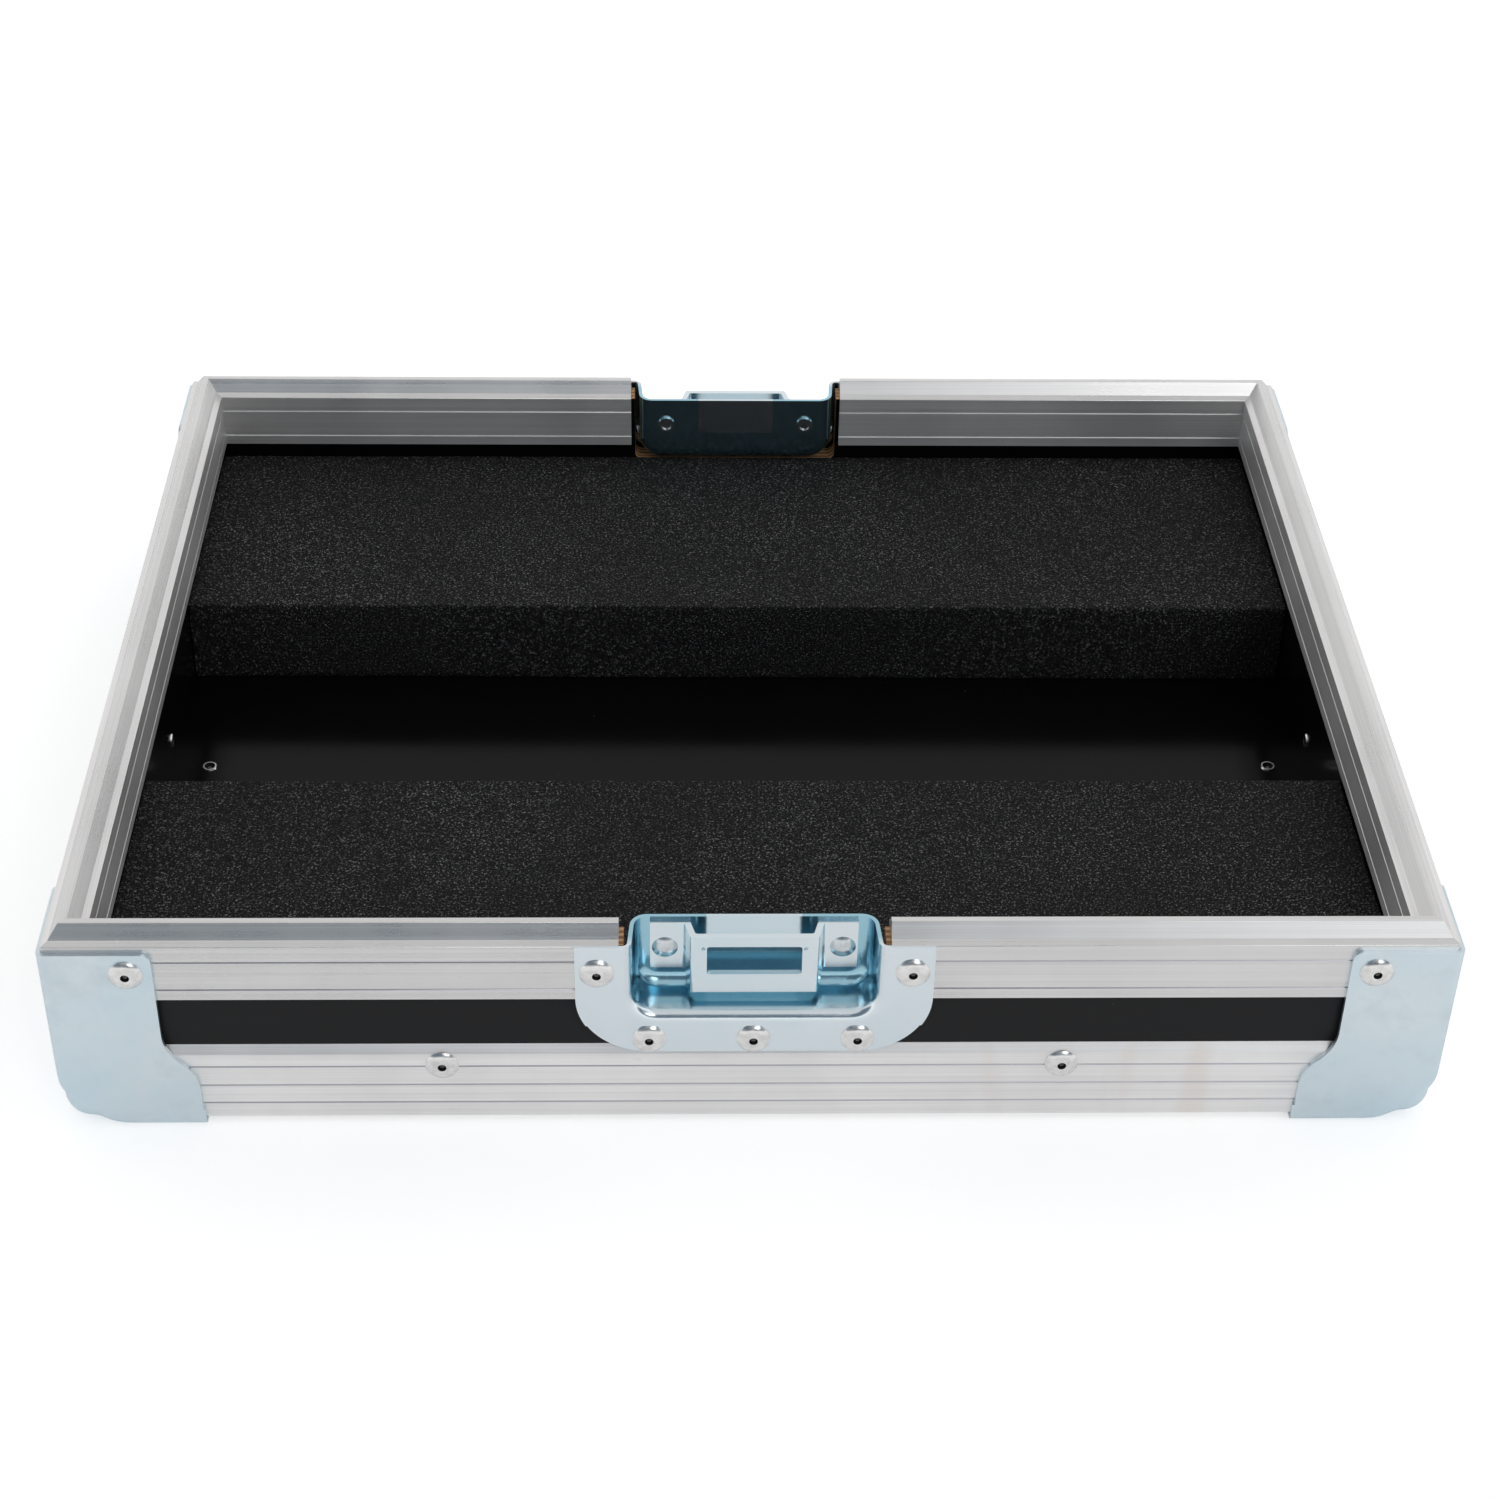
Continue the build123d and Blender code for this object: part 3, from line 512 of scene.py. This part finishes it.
class FlightCaseExtrusionSettings(bpy.types.PropertyGroup):
    rail_tint: tint_setting("Rail metal", "Metal colour of the closing rails", 0.77, 0.76, 0.755)
    angle_tint: tint_setting("Angle metal", "Metal colour of the bottom angles", 0.95, 0.935, 0.93)
    roughness: share_setting("Roughness", "How far the rails blur what they reflect", 0.29)
    angle_dulling: share_setting("Angle dulling", "How much rougher the angles are", 0.15)
    angle_smudge: share_setting("Angle smudge", "How strongly brown runs show on the angles", 0.35)
    inner: lengths_setting(
        "Inner faces", "Half sizes and top of the space that the dull inner faces look into",
        213.4, 168.4, 74.0,
    )
    # At these levels the extrusions are painted darker as shade in their grooves.
    rail_grooves: lengths_setting("Rail grooves", "Levels of the grooves in the rails' legs", 68.2, 57.0)
    angle_grooves: lengths_setting(
        "Angle grooves", "Levels of the grooves in the angles' upright legs", 8.7, 16.4, 24.3
    )
    broken_edge: length_setting("Broken edge", "Width of the bevel on the extrusions' edges", 0.12)


class FlightCaseBoardSettings(bpy.types.PropertyGroup):
    laminate: tint_setting("Laminate", "Colour of the black laminate", 0.0026, 0.0026, 0.0027)
    ply_light: tint_setting("Light ply", "Colour of the plies cut across the grain", 0.70, 0.44, 0.24)
    ply_dark: tint_setting("Dark ply", "Colour of the plies cut along the grain", 0.34, 0.17, 0.08)
    ply: length_setting("Ply", "Thickness of one ply", 1.2857, 0.1)
    notch_half: length_setting(
        "Cut-out half width", "Half the width of the bare edges beside the dishes", 60.0
    )
    notch_z: length_setting("Cut-out level", "Level above which the cut-outs' edges are bare", 44.6)
    core_inner: length_setting(
        "Core start", "Where the front and back boards' plies start behind the inner laminate", 164.0
    )
    core_outer: length_setting("Core end", "Where the plies end behind the outer laminate", 172.8)
    outer_x: length_setting(
        "Outside in X", "Beyond this distance from the middle, the side boards face outwards", 214.0
    )
    outer_y: length_setting(
        "Outside in Y", "Beyond this distance, the front and back boards face outwards", 169.0
    )


class FlightCaseSteelSettings(bpy.types.PropertyGroup):
    brace_tint: tint_setting("Brace plating", "Plating colour of the corner braces", 0.66, 0.79, 0.86)
    brace_cast: tint_setting(
        "Brace cast", "Second tint that the braces' plating drifts to", 0.76, 0.84, 0.88
    )
    brace_roughness: share_setting("Brace roughness", "How far the braces blur what they reflect", 0.34)
    brace_edge: length_setting("Brace edge", "Width of the bevel on the braces' edges", 0.4)
    dish_tint: tint_setting("Dish plating", "Plating colour of the dishes' flanges", 0.74, 0.84, 0.89)
    dish_cast: tint_setting(
        "Dish cast", "Second tint that the flanges' plating drifts to", 0.80, 0.87, 0.91
    )
    # The darker tint that is painted inside the dishes as shade.
    dish_painted_shade: tint_setting("Painted dish shade", "Shade colour painted inside the dishes", 0.38, 0.63, 0.74)
    dish_roughness: share_setting("Dish roughness", "How far the dishes blur what they reflect", 0.16)
    dish_mouth: length_setting(
        "Mouth", "Distance of the dishes' mouths from the middle of the case", 174.6
    )
    catch_tint: tint_setting("Catch plating", "Plating colour of the catch plates", 0.74, 0.85, 0.90)
    catch_cast: tint_setting("Catch cast", "Second tint of the catch plates", 0.82, 0.88, 0.91)
    catch_roughness: share_setting("Catch roughness", "How far the plates blur what they reflect", 0.2)
    catch_edge: length_setting("Catch edge", "Width of the bevel on the catch plates' edges", 0.35)
    faint_mottle: share_setting("Faint mottle", "Mottle of the dishes and the catch plates", 0.3)


class FlightCaseRivetSettings(bpy.types.PropertyGroup):
    tint: tint_setting("Rivet metal", "Colour of the blind rivets", 0.84, 0.83, 0.82)
    roughness: share_setting("Rivet roughness", "How far the blind rivets blur what they reflect", 0.24)
    catch_roughness: share_setting(
        "Catch rivet roughness", "How far the catch plates' rivets blur what they reflect", 0.2
    )
    # The lining's dark colour is painted shade in the bore.
    bore_shade: tint_setting("Bore", "Colour of the dark lining painted as shade in the bore", 0.010, 0.009, 0.008)
    stub_tint: tint_setting("Mandrel", "Colour of the broken mandrel's tip", 0.30, 0.29, 0.28)
    bore: length_setting("Bore radius", "Radius of the bore in a head", 1.4)
    tail_bore: length_setting("Tail bore", "Radius of the bore in a set tail", 2.0)
    bore_depth: length_setting("Bore depth", "How deep the linings reach", 1.95)
    stub_radius: length_setting("Mandrel radius", "Radius of the broken mandrel in a rivet", 0.75, 0.1)
    stub_depth: length_setting("Mandrel depth", "How far the mandrel's end lies below the crown", 0.9)
    through_length: length_setting(
        "Through length", "Rivets longer than this go through and have a set tail", 12.0
    )


class FlightCaseFoamSettings(bpy.types.PropertyGroup):
    tint: tint_setting("Foam", "Colour of the foam's cells", 0.0135, 0.0135, 0.0137)
    edge: length_setting("Edge", "Radius of the cut edges", 0.6, 0.1)
    wander: length_setting("Wander", "How far the cut faces wander inwards", 0.4)
    skew: length_setting("Skew", "How much less deep the back block is at its left end", 1.9)
    spacing: length_setting("Spacing", "Distance between the points of the mesh", 1.8, 0.5)


class FlightCaseStageSettings(bpy.types.PropertyGroup):
    camera_place: FloatVectorProperty(
        name="Camera", description="Where the camera stands", subtype="TRANSLATION", size=3,
        default=(-0.02584, -0.83365, 0.64656),
    )
    pitch: turn_setting("Pitch", "How far the camera looks below the horizon", 36.97)
    yaw: turn_setting("Yaw", "How far the camera turns to the right", 1.99)
    roll: turn_setting("Roll", "How far the camera leans", 1.19)
    focal: FloatProperty(
        name="Focal length", description="Focal length for a 36 mm sensor, in millimetres", min=1.0,
        default=67.642,
    )
    floor: tint_setting("Floor", "Colour of the floor", 0.86, 0.86, 0.86)
    floor_reach: length_setting("Floor reach", "How far the floor goes from the middle", 6000.0)
    floor_glow: share_setting("Floor glow", "Glow that makes the floor white to the camera", 0.47)
    floor_shine: share_setting("Floor shine", "Share of the floor's glow that reflections show", 0.4)
    surround: light_setting("Surround", "Brightness of the studio's walls", 1.0)
    ceiling: light_setting("Ceiling", "Brightness straight above", 0.68)
    soft_box: light_setting("Soft box", "Brightness of the soft box to the right of the camera", 2.1)
    soft_box_way: FloatVectorProperty(
        name="Soft box way", description="Direction of the soft box, seen from the case",
        subtype="DIRECTION", size=3, default=(0.33, -0.72, 0.61),
    )
    dark_side: tint_setting(
        "Dark part", "Colour of the unlit part of the studio behind the camera", 0.140, 0.178, 0.216
    )
    lamp_power: light_setting("Lamp", "Power of the soft lamp, in watts", 3.0)
    lamp_place: FloatVectorProperty(
        name="Lamp place", description="Where the soft lamp hangs", subtype="TRANSLATION", size=3,
        default=(1.2, -0.8, 1.6),
    )
    lamp_size: lengths_setting("Lamp size", "Width and height of the soft lamp", 2000.0, 1400.0)


GROUPS = {
    "flight_case_extrusions": FlightCaseExtrusionSettings,
    "flight_case_boards": FlightCaseBoardSettings,
    "flight_case_steel": FlightCaseSteelSettings,
    "flight_case_rivets": FlightCaseRivetSettings,
    "flight_case_foam": FlightCaseFoamSettings,
    "flight_case_stage": FlightCaseStageSettings,
}


# Operators


class FLIGHTCASE_OT_extrusions(bpy.types.Operator):
    """Finish the closing rails and the bottom angles as extruded aluminium"""

    bl_idname = "flightcase.extrusions"
    bl_label = "Rails and Angles"

    def execute(self, context):
        s = context.scene.flight_case_extrusions
        across = [n for n in nodes_with("rail", "angle") if n.startswith(("front", "back"))]
        deep = [n for n in nodes_with("rail", "angle") if n.startswith(("left", "right"))]
        for nodes, along, word in ((across, 0, "across"), (deep, 1, "deep")):
            rail = extruded_aluminium(
                f"closing rail {word}", s.rail_tint, along, s.roughness, s.rail_grooves, s.inner
            )
            angle = extruded_aluminium(
                f"bottom angle {word}", s.angle_tint, along, s.roughness + s.angle_dulling,
                s.angle_grooves, s.inner, s.angle_smudge,
            )
            repaint([n for n in nodes if "rail" in n], rail)
            repaint([n for n in nodes if "angle" in n], angle)
        soften_edges(across + deep, s.broken_edge)
        return {"FINISHED"}


class FLIGHTCASE_OT_boards(bpy.types.Operator):
    """Finish the plywood boards with their black laminate and bare cut edges"""

    bl_idname = "flightcase.boards"
    bl_label = "Boards"

    def execute(self, context):
        s = context.scene.flight_case_boards
        repaint(nodes_with("panel"), laminated_board("laminated board", s))
        return {"FINISHED"}


class FLIGHTCASE_OT_braces(bpy.types.Operator):
    """Finish the four corner braces as zinc plated steel"""

    bl_idname = "flightcase.braces"
    bl_label = "Corner Braces"

    def execute(self, context):
        s = context.scene.flight_case_steel
        plate = zinc_plate("brace plating", s.brace_tint, s.brace_cast, s.brace_roughness)
        repaint(nodes_with("brace"), plate)
        soften_edges(nodes_with("brace"), s.brace_edge)
        return {"FINISHED"}


class FLIGHTCASE_OT_dishes(bpy.types.Operator):
    """Finish the two catch dishes as bright plated pressings"""

    bl_idname = "flightcase.dishes"
    bl_label = "Catch Dishes"

    def execute(self, context):
        s = context.scene.flight_case_steel
        plate = zinc_plate(
            "dish plating", s.dish_tint, s.dish_cast, s.dish_roughness, s.faint_mottle,
            deep=s.dish_painted_shade, mouth=s.dish_mouth,
        )
        repaint(nodes_with("dish"), plate)
        return {"FINISHED"}


class FLIGHTCASE_OT_catches(bpy.types.Operator):
    """Finish the two catch plates as bent steel, bright from its plating"""

    bl_idname = "flightcase.catches"
    bl_label = "Catch Plates"

    def execute(self, context):
        s = context.scene.flight_case_steel
        plate = zinc_plate(
            "catch plating", s.catch_tint, s.catch_cast, s.catch_roughness, s.faint_mottle
        )
        repaint(nodes_with("catch_plate"), plate)
        soften_edges(nodes_with("catch_plate"), s.catch_edge)
        return {"FINISHED"}


class FLIGHTCASE_OT_rivets(bpy.types.Operator):
    """Finish the rivets and set the broken mandrels, with dark linings of painted shade, in the blind ones
    """

    bl_idname = "flightcase.rivets"
    bl_label = "Rivets"

    def execute(self, context):
        s = context.scene.flight_case_rivets
        blind = turned_metal("blind rivet metal", s.tint, s.roughness)
        solid = turned_metal("catch rivet metal", record_colour("catch_rivet"), s.catch_roughness)
        groups = sorted(n for n in NODES if "rivets" in n and "catch" not in n)
        repaint(groups, blind)
        repaint([n for n in NODES if "catch_rivets" in n], solid)
        steel = broken_mandrel("mandrel steel and bore shade", s.bore_shade, s.stub_tint)
        middle = (np.array(cad_box[0]) + np.array(cad_box[1])) / 2
        for group in groups:
            heads, tails = [], []
            for low, high in solids_of(group):
                axis, side = rivet_axis(low, high, middle)
                tail, crown = (low, high) if side > 0 else (high, low)
                centre = (low + high) / 2
                heads.append((centre, axis, side, crown[axis]))
                if high[axis] - low[axis] > s.through_length:
                    tails.append((centre, axis, -side, tail[axis]))
            ends = (("mandrels", heads, s.bore), ("mandrel_heads", tails, s.tail_bore))
            for word, places, bore in ends:
                if places:
                    name = f"{group}_{word}"
                    put_piece(name, mandrels(name, places, bore, s), steel)
        return {"FINISHED"}


def rivet_axis(low, high, middle):
    """The axis along a rivet, about which its outline is round, and the side that its head is on."""
    size = high - low
    odd = [abs(size[(k + 1) % 3] - size[(k + 2) % 3]) for k in range(3)]
    axis = int(np.argmin(odd))
    return axis, 1.0 if (low + high)[axis] / 2 > middle[axis] else -1.0


def mandrels(name, places, bore, s):
    """Surfaces of revolution, one in each rivet's bore: a thin dark lining up the bore's wall, which is
    painted shade in the bore, and a stub in its middle that ends in a broken tip. Radius and depth follow
    a profile, and the turn goes once round. Each row of the profile also says how much broken steel gleams
    there."""
    skin = 0.06 * MM
    wall, lining, floor = bore - 0.02 * MM, bore - skin, s.bore_depth - skin
    stub, tip = s.stub_radius, s.stub_depth
    # Rows with gleam 0 are the dark lining: painted shade up the bore's wall and across its floor.
    profile = np.array([
        (0.0, floor, 0.0), (wall, floor, 0.0), (wall, 0.12 * MM, 0.0), (lining, 0.14 * MM, 0.0),
        (lining, floor - skin, 0.0), (stub, floor - skin, 0.0), (stub, tip, 0.6),
        (stub * 0.7, tip - 0.12 * MM, 1.0), (stub * 0.35, tip + 0.1 * MM, 0.3),
        (0.0, tip + 0.02 * MM, 0.8),
    ])
    radius, depth, gleam = profile[:, :1], profile[:, 1:2], profile[:, 2:]
    turn = np.linspace(0.0, 2.0 * math.pi, 25)[:-1]
    sheets = []
    for centre, axis, side, crown in places:
        sheet = np.empty((len(profile), len(turn), 3))
        sheet[..., axis] = crown - side * depth
        sheet[..., (axis + 1) % 3] = centre[(axis + 1) % 3] + radius * np.cos(turn)
        sheet[..., (axis + 2) % 3] = centre[(axis + 2) % 3] + radius * np.sin(turn)
        sheets.append(sheet)
    mesh = lay_surface(name, np.stack(sheets), closed_round=True)
    worn = mesh.attributes.new("gleam", "FLOAT", "POINT")
    shine = np.broadcast_to(gleam, (len(sheets), len(profile), len(turn)))
    worn.data.foreach_set("value", shine.ravel())
    merge_close(mesh, 0.0001 * MM)
    return mesh


class FLIGHTCASE_OT_foam(bpy.types.Operator):
    """Lay the two foam blocks along the front and the back wall"""

    bl_idname = "flightcase.foam"
    bl_label = "Foam Blocks"

    def execute(self, context):
        s = context.scene.flight_case_foam
        finish = open_cell_foam("cut foam", s.tint)
        for node, seed, skew in (("front_foam_block", 3, 0.0), ("back_foam_block", 8, s.skew)):
            low, high = (np.array(corner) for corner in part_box(node))
            mesh = foam_block(node + "_cut", low, high, s, seed, skew)
            piece = put_piece(node + "_cut", mesh, finish)
            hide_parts(node)
        return {"FINISHED"}


def slow_waves(points, seed, amount):
    """Goes from 0 to the amount: a weighted sum of sine waves of a few lengths and random directions."""
    rng = np.random.default_rng(seed)
    total = np.zeros(points.shape[:-1])
    weight = 0.0
    for length, share in ((0.16, 1.0), (0.07, 0.6), (0.03, 0.35), (0.012, 0.25), (0.006, 0.15)):
        for _ in range(3):
            way = rng.normal(size=3)
            way *= 2 * math.pi / length / np.linalg.norm(way)
            total += share * np.sin(points @ way + rng.uniform(0, 2 * math.pi))
            weight += share
    return amount * (0.5 + 0.5 * total / weight)


def foam_block(name, low, high, s, seed, skew):
    """A rounded block carried along X: each section is a rounded rectangle in Y and Z, which shrinks to
    the middle over each flat end. Points of the top and the long sides then sink inwards by most of the
    slow waves, and with skew the low Y side steps back evenly towards the left end."""
    edge, spacing = s.edge, s.spacing
    at_face, give = 0.97, 0.9
    length, depth, height = high - low
    middle = (low + high) / 2
    quarter = np.linspace(0, math.pi / 2, 4)
    ring = []
    for k, (sy, sz) in enumerate(((1, 1), (-1, 1), (-1, -1), (1, -1))):
        turn = quarter + k * math.pi / 2
        y = sy * (depth / 2 - edge) + edge * np.cos(turn)
        z = sz * (height / 2 - edge) + edge * np.sin(turn)
        ring.append(np.stack([y, z], axis=-1))
    outline = np.concatenate(ring)
    outline = np.concatenate([outline, outline[:1]])
    gaps = np.linalg.norm(np.diff(outline, axis=0), axis=1)
    run = np.concatenate([[0.0], np.cumsum(gaps)])
    counts = np.maximum(1, np.round(gaps / spacing)).astype(int)
    stations = np.concatenate([
        start + gap * np.arange(count) / count for start, gap, count in zip(run, gaps, counts)
    ])
    section = np.stack([np.interp(stations, run, outline[:, k]) for k in range(2)], axis=-1)
    cap = np.linspace(0, 1, 7)[:-1]
    body = np.linspace(-1, 1, int((length - 2 * edge) / spacing) + 1)
    rise, fall = edge * (1 - np.cos(quarter))[:-1], edge * (1 - np.cos(quarter[::-1]))[1:]
    x = np.concatenate([
        np.full(len(cap), -length / 2), -length / 2 + rise, body * (length / 2 - edge),
        length / 2 - fall, np.full(len(cap), length / 2),
    ])
    inset = np.concatenate([
        np.full(len(cap), edge), edge * (1 - np.sin(quarter))[:-1], np.zeros(len(body)),
        edge * (1 - np.sin(quarter[::-1]))[1:], np.full(len(cap), edge),
    ])
    spread = np.concatenate([cap, np.ones(len(x) - 2 * len(cap)), cap[::-1]])
    half = np.array([depth / 2, height / 2])
    scale = (half - inset[:, None]) / half * spread[:, None]
    yz = section[None, :, :] * scale[:, None, :]
    along = np.broadcast_to(x[:, None, None], yz.shape[:2] + (1,))
    points = np.concatenate([along, yz], axis=-1) + middle
    reach = (points - middle) / ((high - low) / 2)
    outer = np.sign(reach) * (np.abs(reach) > at_face) * (0.0, 1.0, 1.0)
    points = points - outer * slow_waves(points, seed, s.wander)[..., None] * give
    points[..., 2] = np.maximum(points[..., 2], low[2])
    points[..., 1] += skew * (0.5 - reach[..., 0] / 2) * (0.5 - reach[..., 1] / 2)
    mesh = lay_surface(name, points, closed_round=True)
    merge_close(mesh, 0.001 * MM)
    return mesh


class FLIGHTCASE_OT_stage(bpy.types.Operator):
    """Set up the floor, the light and the camera"""

    bl_idname = "flightcase.stage"
    bl_label = "Stage"

    def execute(self, context):
        s = context.scene.flight_case_stage
        scene = context.scene
        scene.view_settings.view_transform = "Standard"
        lay_floor(s)
        light_studio(scene, s)
        stand_camera(scene, s)
        return {"FINISHED"}


def lay_floor(s):
    """A wide flat floor at the braces' undersides, which glows for the camera and less for reflections."""
    grid = np.linspace(-s.floor_reach, s.floor_reach, 3)
    x, y = np.meshgrid(grid, grid)
    mesh = lay_surface("floor", np.stack([x, y, np.full_like(x, cad_box[0][2])], axis=-1))
    floor = bpy.data.objects.new("floor", mesh)
    bpy.context.scene.collection.objects.link(floor)
    finish = Finish("studio floor")
    paint = finish.add("ShaderNodeBsdfDiffuse", None, {"Color": colour(s.floor)})
    seen = finish.add("ShaderNodeLightPath", output="Is Camera Ray")
    mirrored = finish.add("ShaderNodeLightPath", output="Is Glossy Ray")
    strength = (seen + mirrored * s.floor_shine) * s.floor_glow
    glow = finish.add("ShaderNodeEmission", None, {"Color": colour(WHITE), "Strength": strength})
    finish.add_output(finish.add("ShaderNodeAddShader", None, {0: paint, 1: glow}))
    mesh.materials.append(finish.material)


def light_studio(scene, s):
    """An even surround under a dimmer ceiling, with an unlit band round the camera's side of the room, a
    small soft box in it to the camera's right and a large weak lamp. The ceiling and the soft box fade
    with the angle from one direction, the band with its height. The camera itself sees white."""
    world = bpy.data.worlds.new("studio")
    scene.world = world
    world.use_nodes = True
    sheet = Sheet(world.node_tree)
    way = sheet.add("ShaderNodeTexCoord", output="Generated")

    def towards(facing, *stops):
        nearness = sheet.add(
            "ShaderNodeVectorMath", {"operation": "DOT_PRODUCT"},
            {0: way, 1: tuple(Vector(facing).normalized())}, output=1,
        )
        return sheet.ramp(nearness, *stops)

    above = towards((0.0, 0.0, 1.0), (0.30, 0.0), (0.80, 1.0))
    light = sheet.blend(shade(WHITE, s.surround), shade(WHITE, s.ceiling), above)
    split = sheet.add("ShaderNodeSeparateXYZ", inputs={0: way}).socket.node
    behind = sheet.ramp(0.0 - Value(sheet, split.outputs["Y"]), (0.05, 0.0), (0.35, 1.0))
    height = Value(sheet, split.outputs["Z"])
    band = behind * sheet.ramp(height, (0.14, 0.0), (0.28, 1.0), (0.70, 1.0), (0.80, 0.0))
    light = sheet.blend(light, colour(s.dark_side), band)
    box = towards(s.soft_box_way, (0.970, 0.0), (0.982, 1.0))
    light = sheet.blend(light, shade(WHITE, s.soft_box), box)
    light = sheet.blend(light, colour(WHITE), sheet.add("ShaderNodeLightPath", output="Is Camera Ray"))
    glow = sheet.add("ShaderNodeBackground", None, {"Color": light, "Strength": 1.0})
    output = world.node_tree.nodes.new("ShaderNodeOutputWorld")
    world.node_tree.links.new(glow.socket, output.inputs["Surface"])
    lamp = bpy.data.lights.new("soft lamp", "AREA")
    lamp.shape = "RECTANGLE"
    lamp.size, lamp.size_y = s.lamp_size
    lamp.energy = s.lamp_power
    holder = bpy.data.objects.new("soft lamp", lamp)
    holder.matrix_world = aim(Vector(s.lamp_place), Vector((0.0, 0.0, 0.0)))
    scene.collection.objects.link(holder)


def aim(place, target):
    """A matrix at the place whose -Z looks at the target."""
    turn = (target - place).to_track_quat("-Z", "Y")
    return Matrix.Translation(place) @ turn.to_matrix().to_4x4()


def stand_camera(scene, s):
    """The camera at its place: looking down by the pitch, turned by the yaw and leaning by the roll."""
    forward = Vector((
        math.sin(s.yaw) * math.cos(s.pitch), math.cos(s.yaw) * math.cos(s.pitch), -math.sin(s.pitch)
    ))
    right = Vector((math.cos(s.yaw), -math.sin(s.yaw), 0.0))
    up = right.cross(forward)
    leaning_right = right * math.cos(s.roll) + up * math.sin(s.roll)
    leaning_up = up * math.cos(s.roll) - right * math.sin(s.roll)
    turn = Matrix((leaning_right, leaning_up, -forward)).transposed()
    data = bpy.data.cameras.new("camera")
    data.lens = s.focal
    data.sensor_width = 36.0
    data.clip_start = 0.01
    camera = bpy.data.objects.new("camera", data)
    camera.matrix_world = Matrix.Translation(Vector(s.camera_place)) @ turn.to_4x4()
    scene.collection.objects.link(camera)
    scene.camera = camera


class FLIGHTCASE_PT_panel(bpy.types.Panel):
    """The steps that finish the case, in order"""

    bl_idname = "FLIGHTCASE_PT_panel"
    bl_label = "Flight Case"
    bl_space_type = "VIEW_3D"
    bl_region_type = "UI"
    bl_category = "Flight Case"

    def draw(self, context):
        for operator in OPERATORS:
            self.layout.operator(operator.bl_idname)
        for group in GROUPS:
            box = self.layout.box()
            settings = getattr(context.scene, group)
            for name in settings.bl_rna.properties.keys():
                if name not in ("rna_type", "name"):
                    box.prop(settings, name)


OPERATORS = (
    FLIGHTCASE_OT_extrusions,
    FLIGHTCASE_OT_boards,
    FLIGHTCASE_OT_braces,
    FLIGHTCASE_OT_dishes,
    FLIGHTCASE_OT_catches,
    FLIGHTCASE_OT_rivets,
    FLIGHTCASE_OT_foam,
    FLIGHTCASE_OT_stage,
)


def register():
    for kind in (*GROUPS.values(), *OPERATORS, FLIGHTCASE_PT_panel):
        bpy.utils.register_class(kind)
    for name, group in GROUPS.items():
        setattr(bpy.types.Scene, name, PointerProperty(type=group))


def unregister():
    for name in GROUPS:
        delattr(bpy.types.Scene, name)
    for kind in (FLIGHTCASE_PT_panel, *reversed(OPERATORS), *reversed(GROUPS.values())):
        bpy.utils.unregister_class(kind)


def main():
    register()
    for operator in OPERATORS:
        getattr(bpy.ops.flightcase, operator.bl_idname.split(".")[1])()


if __name__ == "__main__":
    main()
